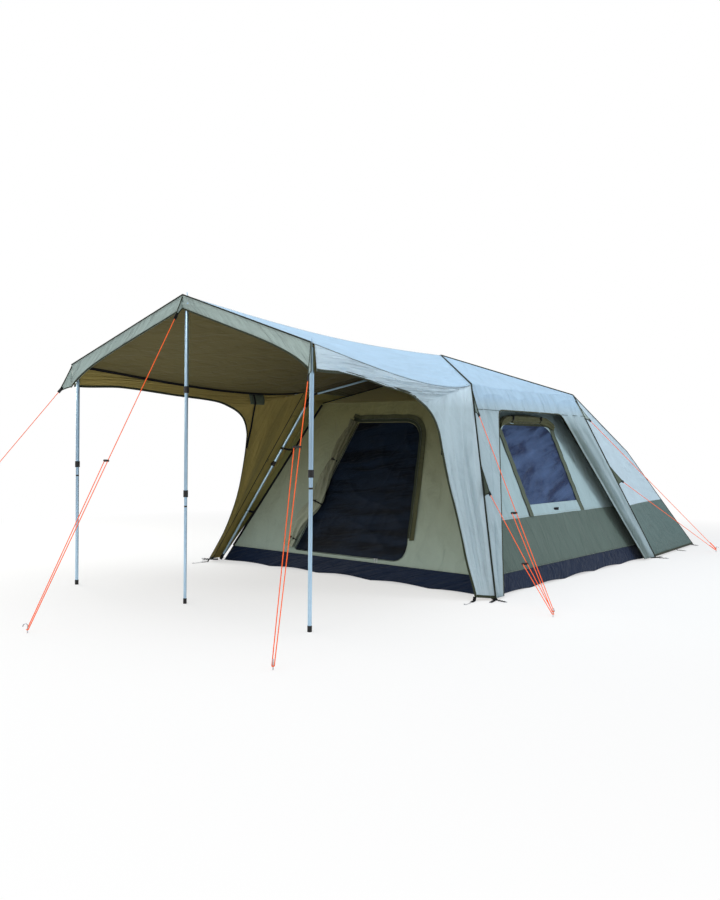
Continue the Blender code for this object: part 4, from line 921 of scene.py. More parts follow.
roofPoints, _, flip = clothGrid(rowsOf(roofPlace, roof["columns"], roof["rows"]), lambda p: lineUp, roofRipple)
roofSheet = clothMesh("roofSheet", roofPoints, flip, looks["roof"], looks["lining"])
hang(roofSheet, ["fly_roof"], 2.9, 1.2, "stretched", area=3.2, rests=["hub"])
hips = [[mixed3(legSeam(a, b, 1), Vector((0, 0, size["peak"])), k) + lineUp * 0.004 for k in spread(24)]
        for a, b in cornerSigns]
piping("hipPiping", hips, 0.0075)
print("roof made")

# Small helpers for the panels
def softCorner(corners, radii, place, closed=True):
    count = len(corners)
    index = min(int(place), count - 1 if closed else count - 2)
    share = place - index
    here, there = Vector(corners[index]), Vector(corners[(index + 1) % count])
    length = (there - here).length
    near, far = share * length, (1 - share) * length
    for corner, distance, ahead, radius in (
        (index, near, 1, radii[index]), ((index + 1) % count, far, -1, radii[(index + 1) % count])):
        if distance < radius and (closed or 0 < corner < count - 1):
            tip = Vector(corners[corner])
            before = (Vector(corners[corner - 1]) - tip).normalized() * radius
            after = (Vector(corners[(corner + 1) % count]) - tip).normalized() * radius
            turn = 0.5 + ahead * 0.5 * distance / radius
            return tip + before * (1 - turn) ** 2 + after * turn ** 2
    return mixed3(here, there, share)


def flatUv(xWay, yWay):
    x, y = Vector(xWay).normalized(), Vector(yWay).normalized()
    return lambda place: (place.dot(x), place.dot(y))


def setUv(piece, finder):
    layer = piece.data.uv_layers["cloth"]
    for loop in piece.data.loops:
        layer.data[loop.index].uv = finder(piece.data.vertices[loop.vertex_index].co)


def rolledCloth(name, line, halves, wide, deep, lobes, fold, swell, turns, outside, inside, around=48, seed=0.0):
    # cloth rolled up along a line: a flattened spiral with lengthwise folds
    points = []
    for index, here in enumerate(line):
        share = index / (len(line) - 1)
        grow, row = swell(share), []
        for step in range(turns * around + 1):
            angle = -2 * math.pi * step / around
            reach = 1 - 0.9 * step / (turns * around)
            crease = math.cos(lobes * angle + 3.5 * share + math.sin(share * 9) + seed) * fold * grow
            crease += fold * 0.8 * crinkled((math.cos(angle) * 2, math.sin(angle) * 2, share * 9), 1.4, seed)
            half = halves(share)
            wideReach = wide * math.cos(angle) * (half[0] * grow + crease)
            row.append(here + reach * (wideReach + deep * math.sin(angle) * (half[1] * grow + crease)))
        points.append(row)
    points, _, flip = clothGrid(points, lambda place: place - line[len(line) // 2])
    return clothMesh(name, points, flip, looks[outside], looks[inside], 0.0010)


def loopAngles(count):
    return [math.pi * turn for turn in spread(count, 1.5, 2)]


# Wings: cloth hung beside the front legs and along the eaves
wing = {
    "columns": 150, "rows": 48, "fold": 0.014, "folds": 3, "gap": 0.0006, "endShare": 0.985, "bindingWidth": 0.020,
    "edgeShares": (
        (0.00, -0.041, 0.057, 0.006), (0.16, -0.052, 0.071, 0.000), (0.28, -0.052, 0.087, 0.000),
        (0.40, -0.049, 0.113, 0.000), (0.54, -0.041, 0.152, 0.000), (0.67, -0.026, 0.189, -0.004),
        (0.80, -0.004, 0.230, -0.022), (0.92, 0.020, 0.290, -0.048), (1.00, 0.038, 0.362, -0.076),
        (1.12, 0.028, 0.285, -0.048), (1.30, 0.015, 0.171, -0.034), (1.55, 0.005, 0.085, -0.035),
        (1.80, 0.006, 0.030, -0.043), (2.00, 0.010, 0.000, -0.070)),
    "strap": (
        (0.0, -1.636, 1.662), (1.0, -1.632, 1.500), (2.0, -1.632, 1.360), (3.0, -1.652, 1.235), (4.0, -1.668, 1.140)),
}


def onWing(points, y, z, inwards):
    near = sorted(((p.y - y) ** 2 + (p.z - z) ** 2, p.x) for row in points for p in row)[:4]
    weights = [1 / (1e-7 + gap) for gap, x in near]
    return Vector((sum(weight * x for weight, (gap, x) in zip(weights, near)) / sum(weights) + inwards, y, z))


def smoothRow(rows, place):
    last = len(rows) - 1
    index = max(k for k in range(last) if rows[k][0] <= place or k == 0)
    near = [rows[min(max(index + shift, 0), last)] for shift in (-1, 0, 1, 2)]
    t = (place - near[1][0]) / (near[2][0] - near[1][0])
    weights = (-0.5 * t + t ** 2 - 0.5 * t ** 3, 1 - 2.5 * t ** 2 + 1.5 * t ** 3,
               0.5 * t + 2 * t ** 2 - 1.5 * t ** 3, -0.5 * t ** 2 + 0.5 * t ** 3)
    return [sum(w * row[k] for w, row in zip(weights, near)) for k in range(1, len(rows[0]))]


def wingPlace(side):
    def edgePlace(u):
        seat = 2 * u
        if seat < 1:
            seam = legSeam(side, -1, seat)
        else:
            seam = awningEave(side, (seat - 1) * wing["endShare"])
            seam += (legSeam(side, -1, 0) - legSeam(side, -1, 1)) * 0.003 / (size["eaveHeight"] - size["hem"])
        seam.y -= wing["gap"]
        out, forward, rise = [awningDepth * share for share in smoothRow(wing["edgeShares"], seat)]
        return seam, seam + Vector((side * out, -forward, rise)), Vector((side * forward, out, 0)).normalized()

    fine = 400                                 # the free edge, eased where it turns under the elbow
    edge = [edgePlace(k / fine)[1] for k in range(fine + 1)]
    for turn in range(160):
        edge = [edge[0]] + [mixed3(edge[k], (edge[k - 1] + edge[k + 1]) / 2, 0.9 if 0.38 < k / fine < 0.75 else 0)
                            for k in range(1, fine)] + [edge[-1]]

    def place(u, v):
        seat = 2 * u
        seam, _, square = edgePlace(u)
        spot = min(int(u * fine), fine - 1)
        here = mixed3(seam, mixed3(edge[spot], edge[spot + 1], u * fine - spot), v)
        weight = max(math.sin(math.pi * min(seat, 1)), 0) ** 0.7
        return here + square * wing["fold"] * math.sin(math.pi * wing["folds"] * v) * weight
    return place


def groove(v, middle, width):
    return math.exp(-((v - middle) / width) ** 2)


def wingRipple(u, v, place):
    edge = min(1, v * 6) * (0.8 if place.x > 0 else 0.10)
    lift = 0.0035 * crinkled((place.x * 0.5, place.y * 2.4, place.z * 0.9), 4.0, 11.0)
    lift += 0.0012 * crinkled(place, 16.0, 4.0)
    if u < 0.55:                               # narrow folds down the leg
        hang = math.sin(math.pi * min(u / 0.5, 1)) ** 0.6
        crest = 1 - abs(math.sin(math.pi * (4.3 * v + 0.5 * u + 0.35 * crinkled((u * 6, v * 2, 3), 1.0, 5.0))))
        lift += (0.0190 * crest ** 2.0 - 0.0065) * hang * min(1, (1 - v) * 8)
        sway = 0.05 * crinkled((u * 5, 1, 4), 1.0, 9.0)
        grooves = 0.017 * groove(v, 0.33 + sway, 0.035) + 0.013 * groove(v, 0.60 - sway + 0.1 * u, 0.03)
        lift -= (grooves + 0.010 * groove(v, 0.82 + sway, 0.03)) * hang
    if u > 0.42:                               # long creases in the strip under the eave
        reach = min((u - 0.42) / 0.10, 1) * min(1, (1 - u) * 14)
        warp = crinkled((u * 7, v * 1.6, 1), 1.5, 7.0)
        crest = 1 - abs(math.sin(math.pi * (2.7 * v + 3.2 * u + 1.1 * warp)))
        cross = 1 - abs(math.sin(math.pi * (1.7 * v - 9.0 * u + 1.4 * warp)))
        lift += (0.0150 * crest ** 2.0 + 0.0110 * cross ** 2.6 - 0.0070) * reach * min(1, (1 - v) * 6)
    return lift * edge


for side, label in ((-1, "left"), (1, "right")):
    wingPoints, wingNormals, flip = clothGrid(
        rowsOf(wingPlace(side), wing["columns"], wing["rows"]), lambda p: Vector((p.x, p.y * 0.3, 0)), wingRipple)
    wingSheet = clothMesh(f"wingSheet_{label}", wingPoints, flip, looks["fly"], looks["wingLiningLitThrough"])
    hang(wingSheet, [f"fly_wing_{label}"], 3.9, 0.55, "hung", area=0.95, rests=["fly_awning"])
    freeEdge, edgeNormals = wingPoints[-1], wingNormals[-1]
    inwards = [(near - edge).normalized() for near, edge in zip(wingPoints[-4], freeEdge)]
    band(f"wingBinding_{label}", freeEdge, edgeNormals, wing["bindingWidth"], "binding", side=inwards,
         shift=-0.0015, lift=0.0008)
    band(f"wingHem_{label}", [row[0] for row in wingPoints], [row[0] for row in wingNormals], 0.022, "binding",
         side=lineUp, shift=-0.001, lift=0.0008)
    stitches(f"wingStitch_{label}", [[p + n * 0.0029 + i * 0.016 for p, n, i in zip(freeEdge, edgeNormals, inwards)]])
    layerOn(f"eaveDrop_{label}", wingPoints, wingNormals, (0, 2.2), (76, wing["columns"] - 1), "webbing", -0.0032, flip)
    patchTop = 1.668 if side < 0 else 1.630
    patch = [[onWing(wingPoints, -1.52 - 0.17 * k / 8, patchTop - 0.100 * j / 5, -side * 0.008) for k in range(9)]
             for j in range(6)]
    patchPiece = clothMesh(f"tapePatch_{label}", patch, side < 0, looks["tape"], looks["tape"], 0.0018, shift=0.5)
    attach(patchPiece, "tent")
    strapDrop = 0.03 if side > 0 else 0
    strap = [onWing(wingPoints, y, z - strapDrop, -side * 0.0095)
             for y, z in (smoothRow(wing["strap"], k / 10) for k in range(41))]
    band(f"wallTape_{label}", strap, [Vector((side, 0, 0.1)).normalized()] * 41, 0.020, "webbing",
         side=Vector((0, -1, 0)), shift=-0.010, thickness=0.0030)
print("wings made")

# Side covers with their large openings
cover = {
    "columns": 40, "rows": 46, "gateDrop": 0.220, "frontTop": 0.42, "frontFoot": 0.13,
    "rearTop": 0.52, "rearFoot": 0.28, "round": 0.060, "binding": 0.013, "slope": (0.3553, 0.9348),
}


def coverLines(gate):
    low, high = size["hem"], size["eaveHeight"]
    outer = [(-reachAt(low), low), (-reachAt(high), high), (reachAt(high), high), (reachAt(low), low)]
    inner = [(-reachAt(low) + cover["frontFoot"], low), (-reachAt(gate) + cover["frontTop"], gate),
             (reachAt(gate) - cover["rearTop"], gate), (reachAt(low) - cover["rearFoot"], low)]
    return inner, outer


def coverPlace(side):
    inner, outer = coverLines(size["eaveHeight"] - cover["gateDrop"])

    def place(u, v):
        turn = u * 3
        flat = mixed3(softCorner(inner, [0, cover["round"], cover["round"], 0], turn, False),
                      softCorner(outer, [0, 0, 0, 0], turn, False), v)
        tuck = 0.0004 if flat.y > size["eaveHeight"] - 0.001 else 0
        spot = Vector((side * reachAt(flat.y), flat.x * 0.9998, flat.y - tuck))
        level, fall = cover["slope"]
        drop = (size["eaveHeight"] - spot.z) / fall
        return eaved(spot, (side * level, 0, -fall), (side * fall, 0, level), drop)
    return place


def coverRipple(u, v, place):
    across = math.sin(math.pi * min(max(v, 0), 1)) ** 0.7
    warp = crinkled((place.y * 2.0, place.z * 1.1, 2), 1.3, 6.0)
    if u > 2 / 3:                              # deep folds down the rear strip
        crest = 1 - abs(math.sin(math.pi * (2.1 * v + 0.45 * warp + 0.3 * place.z)))
        end = math.sin(math.pi * (u * 3 - 2)) ** 0.5
        dip = 0.010 - 0.040 * groove(v, 0.20 + 0.05 * warp, 0.045)
        dip -= 0.030 * groove(v, 0.52 - 0.10 * place.z + 0.05 * warp, 0.045)
        lift = 0.022 * crest ** 1.6 - 0.004 + dip * end
    elif u < 1 / 3:
        crest = 1 - abs(math.sin(math.pi * (1.6 * v + 0.8 * warp + 0.3)))
        lift = 0.012 * crest ** 2 - 0.004 - 0.012 * groove(v, 0.45 + 0.10 * warp, 0.05)
    else:
        crest = 1 - abs(math.sin(math.pi * (1.2 * v + 2.4 * (u - 0.5) + 1.2 * warp)))
        lift = 0.009 * crest ** 2 - 0.003
    lift += 0.004 * crinkled((place.x, place.y * 2.2, place.z * 0.7), 3.4, 6.0)
    return lift * across * min(1, place.z * 5) + 0.0008 * crinkled(place, 18, 2)


def tabCloth(name, base, tip, seam, half, look, tipHalf=0.007):
    run = tip - base
    along = run.normalized()
    seam = Vector(seam).normalized()
    square = along.cross(seam).normalized()
    tipWay = (seam - along * seam.dot(along)).normalized()
    points = []
    for v in spread(14):
        centre = base + run * v
        way = mixed3(seam * half, tipWay * tipHalf, v ** 0.85)
        points.append([centre + way * (2 * k / 12 - 1)
                       + square * 0.004 * math.sin(math.pi * k / 12) * math.sin(2.6 * v) for k in range(13)])
    points, normals, flip = clothGrid(points, lambda p: square)
    piece = clothMesh(name, points, flip, looks[look], looks[look], 0.0022, shift=0.5)
    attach(piece, "tent")
    for edge, column in (("Upper", 12), ("Lower", 0)):
        line = [row[column] for row in points]
        ways = [(row[6] - row[column]).normalized() for row in points]
        band(name + edge, line, [row[column] for row in normals], 0.009, "binding", side=ways, shift=-0.0012,
             thickness=0.0042)
    shapedBlock(name + "Buckle", (0.038, 0.024, 0.008), tip + along * 0.004, along, tipWay, "nylon", bevel=0.0018)
    shapedBlock(name + "Web", (0.036, 0.015, 0.0032), tip - along * 0.016, along, tipWay, "webbing", bevel=0.001)


for side, label in ((-1, "left"), (1, "right")):
    coverPoints, coverNormals, flip = clothGrid(
        rowsOf(coverPlace(side), cover["columns"] * 3, cover["rows"]), lambda p: Vector((p.x, 0, 0.4)), coverRipple)
    coverSheet = clothMesh(f"coverSheet_{label}", coverPoints, flip, looks["cover"], looks["wingLiningLitThrough"])
    setUv(coverSheet, flatUv((0, 1, 0), (-side * 0.38, 0, 1)))
    hang(coverSheet, [f"fly_side_{label}"], 3.3, 1.83, "stretched", area=1.83, rests=[f"fly_wing_{label}"])
    inEdge, inNormals = coverPoints[0], coverNormals[0]
    outwards = [(coverPoints[3][k] - coverPoints[0][k]).normalized() for k in range(len(inEdge))]
    band(f"coverBinding_{label}", inEdge, inNormals, cover["binding"], "binding", side=outwards, shift=-0.0015,
         lift=0.0008)
    gate = size["eaveHeight"] - cover["gateDrop"]
    half = reachAt(gate)
    seamLines = [[Vector((side * (half + 0.006), end * (half - share * width), gate)) for share in spread(20)]
                 for end, width in ((-1, cover["frontTop"]), (1, cover["rearTop"]))]
    piping(f"coverSeam_{label}", seamLines, 0.0022, "binding", sides=6)
    stitches(f"coverStitch_{label}", [[p + n * 0.0029 + o * 0.010 for p, n, o in zip(inEdge, inNormals, outwards)]])
    for end, place in ((-1, "front"), (1, "rear")):
        seam = legSeam(side, end, 1) - legSeam(side, end, 0)
        for level, tabHalf, look in (("high", 0.110, "valance"), ("low", 0.145, "tape")):
            base, tip = legTab(side, end, level)
            tabCloth(f"legTab_{label}_{place}_{level}", base, tip, seam, tabHalf, look)
        out = Vector((side * 0.7, end * 0.7, 0.27)).normalized()
        line = [legSeam(side, end, share * 0.999) + out * 0.0062 for share in spread(40)]
        piping(f"legPiping_{label}_{place}", [line], 0.0072)
        back = Vector((0, -end * 0.014, 0)) + Vector((side * 0.93, 0, 0.36)) * 0.0028
        stitches(f"legStitch_{label}_{place}", [[point + back for point in line]])
print("side covers made")

# Rear lobby
lobby = {
    "columns": 40, "rows": 44, "topHalf": 1.02, "topHeight": 1.12, "topBack": 2.42, "hemHalf": 1.56, "hemBack": 3.13,
    "bandTop": 0.56,
}


def lobbyTop(side):
    return Vector((side * lobby["topHalf"], lobby["topBack"], lobby["topHeight"]))


def lobbyFoot(side):
    return Vector((side * lobby["hemHalf"], lobby["hemBack"], size["hem"]))


def lobbyProfile(u, share):
    foot = mixed3(legSeam(1, 1, 0), lobbyFoot(1), share)
    top = mixed3(legSeam(1, 1, 1), lobbyTop(1), share)
    mirror = Vector((-1, 1, 1))
    if u <= 1 / 3:
        return mixed3(foot, top, u * 3)
    if u >= 2 / 3:
        return mixed3(foot, top, (1 - u) * 3) * mirror
    return mixed3(top, top * mirror, (u - 1 / 3) * 3)


def lobbyRipple(u, v, place):
    edge = min(abs(u - 1 / 3), abs(u - 2 / 3), 0.08) / 0.08
    if u < 1 / 3:
        swell = math.sin(math.pi * min(u * 3, 1))
    elif u > 2 / 3:
        swell = math.sin(math.pi * min((1 - u) * 3, 1))
    else:
        swell = math.sin(math.pi * (u - 1 / 3) * 3)
    hollow = -0.050 * math.sin(math.pi * v) * swell
    creases = 0.004 * crinkled(place, 3.2, 9.0) + 0.0012 * crinkled(place, 13, 1.0)
    return hollow * 0.8 + creases * edge * min(1, v * 12) * min(1, (1 - v) * 12)


def rearPlace(u, v):
    right = lobbyProfile(v / 3, 1)
    return mixed3(right, right * Vector((-1, 1, 1)), u)


def rearRipple(u, v, place):
    swell = math.sin(math.pi * u)
    return -0.010 * swell * math.sin(math.pi * v) + 0.004 * crinkled(place, 3.4, 2.0) * swell


shell, _, flip = clothGrid(
    rowsOf(lambda u, v: lobbyProfile(u, 0.0005 + v * 0.9995), lobby["columns"] * 3, lobby["rows"]),
    lambda p: Vector((p.x, 0, 0.6)), lobbyRipple)
lobbySheet = clothMesh("lobbySheet", shell, flip, looks["lobby"], looks["lining"])
hang(lobbySheet, ["fly_rear"], 5.7, 1.5, "stretched", area=7.6, rests=["rear_hoop"])
rearPoints, _, flip = clothGrid(rowsOf(rearPlace, 70, 40), lambda p: Vector((0, 1, 0)), rearRipple)
rearSheet = clothMesh("lobbyRear", rearPoints, flip, looks["lobby"], looks["lining"])
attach(rearSheet, "tent")
piping("lobbyPiping", [[lobbyProfile(k, 1) + Vector((0, 0.002, 0.003)) for k in spread(60)]], 0.005)
bandSeams = []
for side in (-1, 1):
    share = (lobby["bandTop"] - size["hem"]) / (lobby["topHeight"] - size["hem"])
    back = lobbyProfile(share / 3, 1) * Vector((side, 1, 1))
    front = seamAt(side, 1, lobby["bandTop"])
    bandSeams.append([mixed3(front, back, k) + Vector((side * 0.0028, 0, 0)) for k in spread(20)])
stitches("lobbyBandStitch", bandSeams)
hems = [[mixed3(legSeam(side, 1, 0), lobbyFoot(side), k) for k in spread(20)] for side in (-1, 1)]
hems.append([Vector((lobby["hemHalf"] * (1 - 2 * k / 20), lobby["hemBack"], size["hem"])) for k in range(21)])
for index, (line, outWay) in enumerate(zip(hems, ((-1, 0, 0.3), (1, 0, 0.3), (0, 1, 0.6)))):
    band(f"lobbyHem_{index}", line, [Vector(outWay).normalized()] * 21, 0.022, "binding", side=lineUp,
         shift=-0.001, lift=0.001, thickness=0.004)
piping("lobbyTopPiping", [[mixed3(legSeam(side, 1, 1), lobbyTop(side), k) + Vector((side * 0.003, 0, 0.003))
                           for k in spread(20)] for side in (-1, 1)], 0.004)
piping("rearEavePiping", [[mixed3(legSeam(1, 1, 1), legSeam(-1, 1, 1), k) + Vector((0, 0.003, 0.003))
                           for k in spread(30)]], 0.004)
print("lobby made")


# Inner walls: each leans in, hung inside the frame
def wallPlace(turn, across, height, out=0.0):
    place = Vector((across, -size["floorHalf"] + lean * height, height)) + Vector((0, -1, lean)).normalized() * out
    return Matrix.Rotation(turn, 3, "Z") @ place


def wallHalf(height):
    return size["floorHalf"] - lean * height


def wallGrid(turn, inner, radii, columns, rows, ripple):
    low, high = size["tub"] + 0.0003, size["wallTop"] - 0.0003
    outer = [(-wallHalf(low), low), (wallHalf(low), low), (wallHalf(high), high), (-wallHalf(high), high)]

    def place(u, v):
        spot = u * 4 % 4
        flat = mixed3(softCorner(inner, radii, spot), softCorner(outer, [0, 0, 0, 0], spot), v)
        return wallPlace(turn, flat.x, flat.y)
    points = [[place(column / (columns * 4), v) for column in range(columns * 4)] for v in spread(rows)]
    outwards = Matrix.Rotation(turn, 3, "Z") @ Vector((0, -1, lean))
    return clothGrid(points, lambda p: outwards, ripple, True)


def wallRipple(seed, amount=1.0):
    def ripple(u, v, place):
        slack = math.sin(math.pi * min(v * 1.1, 1)) ** 0.7
        slanted = (place.x * 1.3 + place.z * 0.9, place.y * 1.3 + place.z * 0.9, place.z * 0.45)
        drag = 0.005 * crinkled(slanted, 3.4, seed)
        warp = crinkled(place, 1.9, seed + 3)
        crest = 1 - abs(math.sin(math.pi * (2.3 * place.z + 1.5 * (place.x + place.y) + 2.2 * warp)))
        drag += 0.0055 * crest ** 3 * (0.4 + crinkled(place, 1.6, seed))
        return (drag * 1.5 + 0.0035 * crinkled(place, 6.5, seed) + 0.0008 * crinkled(place, 24, seed)) * slack * amount
    return ripple


doorWay = {
    "corners": [(-0.645, 0.18), (0.66, 0.18), (0.44, 1.40), (-0.305, 1.40)], "radii": [0.0, 0.15, 0.19, 0.0],
    "middle": (0.02, 0.78), "columns": 44, "rows": 30,
    "netCorners": [(-0.641, 0.1809), (0.6591, 0.1809), (0.4391, 1.3991), (-0.301, 1.3991)],
    "netRadii": [0.0, 0.1492, 0.1892, 0.0], "netMiddle": (0.0, 0.78),
}
windowFrame = {
    "low": 0.655, "high": 1.385, "half": 0.50, "offset": 0.03, "round": 0.16, "tape": 0.068,
    "rollHalf": 0.53, "rollRise": 0.046, "rollOut": 0.030, "tieShares": (0.24, 0.76),
}
hatch = {"corners": [(-0.55, 0.18), (0.55, 0.18), (0.55, 1.25), (-0.55, 1.25)], "radii": [0.0, 0.0, 0.2, 0.2]}


def windowCorners(middle, grow=0.0):
    left, right = middle - windowFrame["half"] - grow, middle + windowFrame["half"] + grow
    return [(left, windowFrame["low"] - grow), (right, windowFrame["low"] - grow),
            (right, windowFrame["high"] + grow), (left, windowFrame["high"] + grow)]


frontPoints, _, flip = wallGrid(
    0, doorWay["corners"], doorWay["radii"], doorWay["columns"], doorWay["rows"], wallRipple(2.0))
frontWall = clothMesh("frontWall", frontPoints, flip, looks["khaki"], looks["khaki"], 0.0014, ring=True)
setUv(frontWall, flatUv((1, 0, 0), (0, 0.37, 0.93)))
hang(frontWall, ["inner_wall_front"], 2.9, 1.57, "stretched", area=2.4, rests=["roof_arm_front_left"])
rearWall, _, flip = wallGrid(math.pi, hatch["corners"], hatch["radii"], 40, 22, wallRipple(5.0))
rearWallSheet = clothMesh("rearWall", rearWall, flip, looks["wall"], looks["khaki"], 0.0014, ring=True)
setUv(rearWallSheet, flatUv((1, 0, 0), (0, 0.37, 0.93)))
hang(rearWallSheet, ["inner_wall_rear"], 2.9, 1.57, "stretched", area=2.5, rests=["roof_arm_rear_left"])
for side, label in ((-1, "left"), (1, "right")):
    turn, middle = side * math.pi / 2, side * windowFrame["offset"]
    radii = [0, 0, windowFrame["round"], windowFrame["round"]]
    sidePoints, _, flip = wallGrid(turn, windowCorners(middle), radii, 44, 30, wallRipple(7.0 + side, 1.3))
    sideWall = clothMesh(f"sideWall_{label}", sidePoints, flip, looks["wall"], looks["khaki"], 0.0014, ring=True)
    setUv(sideWall, flatUv((0, 1, 0), (0.37, 0, 0.93)))
    hang(sideWall, [f"inner_wall_{label}"], 2.9, 1.57, "stretched", area=2.8, rests=[f"roof_arm_front_{label}"])

    def netPlace(u, v, turn=turn, middle=middle):
        corners = [Vector(corner) for corner in windowCorners(middle, 0.006)]
        flat = mixed3(mixed3(corners[0], corners[1], u), mixed3(corners[3], corners[2], u), v)
        return wallPlace(turn, flat.x, flat.y, -0.003)

    def netRipple(u, v, place):
        edge = min(u, 1 - u, v, 1 - v)
        slant = 2.6 * v - 1.0 * u * (1.2 - 0.7 * v)
        crest = 1 - abs(math.sin(4.2 * slant + 2.6 * crinkled((u, v, 0), 2.0, 3.0)))
        drag = 0.018 * crest ** 2.0 * (0.6 + crinkled((u, v, 1), 2.0, 8.0))
        fine = 1 - abs(math.sin(11 * slant + 4.0 * crinkled((u, v, 4), 2.4, 5.0)))
        drag += 0.007 * fine ** 2.4
        drag += 0.008 * crinkled((u * 1.0, v * 2.4, 2), 4.0, 4.0)
        return (drag + 0.002 * crinkled((u, v, 0), 16, 1.0)) * min(edge * 9, 1)

    netPoints, _, flip = clothGrid(
        rowsOf(netPlace, 90, 70), lambda p, side=side: Vector((side, 0, lean)), netRipple)
    net = clothMesh(f"windowNet_{label}", netPoints, flip, looks["windowNet"], looks["windowNet"], 0.0008, shift=0.5)
    setUv(net, flatUv((0, 1, 0), (0.37, 0, 0.93)))
    hang(net, [f"window_{label}"], 1.0, 0.79, "stretched", rests=[f"inner_wall_{label}"])
    spin = Matrix.Rotation(turn, 3, "Z")
    outWay, alongWall = spin @ Vector((0, -1, lean)).normalized(), spin @ Vector((1, 0, 0))
    for end, tapeSide in ((-1, "a"), (1, "b")):     # tapes down both sides of the window
        edge, sideWay = middle + end * windowFrame["half"], spin @ Vector((end, 0, 0))
        line = [wallPlace(turn, edge, height, 0.0022) for height in spread(30, 0.552, 0.86)]
        line = [p + outWay * 0.0016 * math.sin(k * 1.7) + spin @ Vector((0.0025 * math.sin(k * 0.9 + end), 0, 0))
                for k, p in enumerate(line)]
        band(f"windowTape_{label}_{tapeSide}", line, [outWay] * 31, windowFrame["tape"], "tape", side=sideWay,
             shift=-0.018, thickness=0.003, lift=0.004)
        band(f"windowTapeEdge_{label}_{tapeSide}", line, [outWay] * 31, 0.008, "binding", side=sideWay,
             shift=windowFrame["tape"] - 0.022, thickness=0.004, lift=0.005)
    top = [wallPlace(turn, middle + windowFrame["half"] * t * 1.04, windowFrame["high"] - 0.004, 0.0022)
           for t in spread(20, -1, 2)]
    band(f"windowHead_{label}", top, [outWay] * 21, 0.024, "binding", side=lineUp, thickness=0.003)
    seam = [wallPlace(turn, a, 0.555, 0.0030) for a in spread(60, -1.26, 2.52)]
    stitches(f"wallBandStitch_{label}", [seam, [p + Vector((0, 0, 0.012)) for p in seam]])
    shapedBlock(f"sillTab_{label}", (0.092, 0.026, 0.005), wallPlace(turn, middle - 0.011, 0.595, 0.0065),
                alongWall, lineUp, "webbing", bevel=0.001)
    rollHeight, rollOut = windowFrame["high"] + windowFrame["rollRise"], windowFrame["rollOut"]
    rollLine = [wallPlace(turn, middle + windowFrame["rollHalf"] * t, rollHeight - 0.070 * abs(t) ** 5, rollOut)
                for t in spread(60, -1, 2)]
    pinches = (0.0, *windowFrame["tieShares"], 1.0)
    flapRoll = rolledCloth(
        f"flapRoll_{label}", rollLine, lambda s: (0.040, 0.028), lineUp, outWay, 5, 0.006,
        lambda s: 0.70 + 0.30 * min(min(abs(s - p) for p in pinches) * 9, 1) ** 0.6, 4, "flap", "tape", around=40)
    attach(flapRoll, "tent")
    for index, share in enumerate(windowFrame["tieShares"]):
        here = wallPlace(turn, middle + windowFrame["rollHalf"] * (2 * share - 1), rollHeight, rollOut)
        loop = [here + lineUp * math.cos(a) * 0.033 + outWay * math.sin(a) * 0.0255 for a in loopAngles(16)]
        band(f"flapTie_{label}_{index}", loop, [(p - here).normalized() for p in loop], 0.016, "webbing",
             side=alongWall, thickness=0.002)
        shapedBlock(f"flapToggle_{label}_{index}", (0.042, 0.011, 0.011), here + outWay * 0.033, lineUp, outWay,
                    "nylon", bevel=0.003)
print("inner walls made")

# Doorway: zip flap, teeth, pullers, mesh door and the rolled outer door
doorOut = Vector((0, -1, lean)).normalized()


def doorLine(low, high, count, grow=0.0, out=0.0):
    line, centre = [], Vector(doorWay["middle"])
    for spot in spread(count - 1, low, high - low):
        flat = softCorner(doorWay["corners"], doorWay["radii"], spot % 4)
        away = (flat - centre).normalized()
        line.append(wallPlace(0, flat.x + away.x * grow, flat.y + away.y * grow, out))
    return line


flapLine = doorLine(3.0, 1.16, 104, 0.004, 0.0030)
flapLine = [flapLine[0] + Vector((-0.010 * k, -0.001 * k, 0.003 * k)) for k in range(6, 0, -1)] + flapLine
flapSides = [(p - wallPlace(0, *doorWay["middle"])).normalized() for p in flapLine]
wavy = [p + doorOut * (0.0022 + 0.0022 * math.sin(k * 0.55)) for k, p in enumerate(flapLine)]
band("doorFlapInner", wavy, [doorOut] * 110, 0.034, "binding", side=flapSides, thickness=0.0022, lift=0.005)
flapNormals = [(doorOut + s * 0.10 * math.sin(k * 0.31)).normalized() for k, s in enumerate(flapSides)]
band("doorFlapOuter", [p + s * 0.030 for p, s in zip(wavy, flapSides)], flapNormals, 0.046, "flap",
     side=flapSides, thickness=0.0024, lift=0.004)
alongLines("doorZip", [doorLine(3.0, 0.02, 150, 0.0055, 0.0042)], teethTree,
           {"Pitch": 0.0036, "Width": 0.0052, "Height": 0.0016}, looks["nylon"])
stitches("doorStitch", [[p + s * 0.028 + doorOut * 0.0062 for p, s in zip(wavy, flapSides)]])
for index, reach in enumerate((0.335, 0.360)):
    spot = wallPlace(0, reach, 0.176, 0.008)
    shapedBlock(f"zipSlider_{index}", (0.014, 0.010, 0.007), spot, (1, 0, 0), (0, lean, 1), "steel", bevel=0.002)
    hung = spot + Vector((0.004 * index, -0.005, -0.018))
    shapedBlock(f"zipPuller_{index}", (0.032, 0.007, 0.002), hung, (0.25 - 0.4 * index, -0.1, -1), (1, 0, 0),
                "steel", bevel=0.0008)


def doorPlace(u, v):
    edge = softCorner(doorWay["netCorners"], doorWay["netRadii"], u * 4 % 4)
    flat = mixed3(edge, Vector(doorWay["netMiddle"]), v)
    return wallPlace(0, flat.x, flat.y, 0.0012)


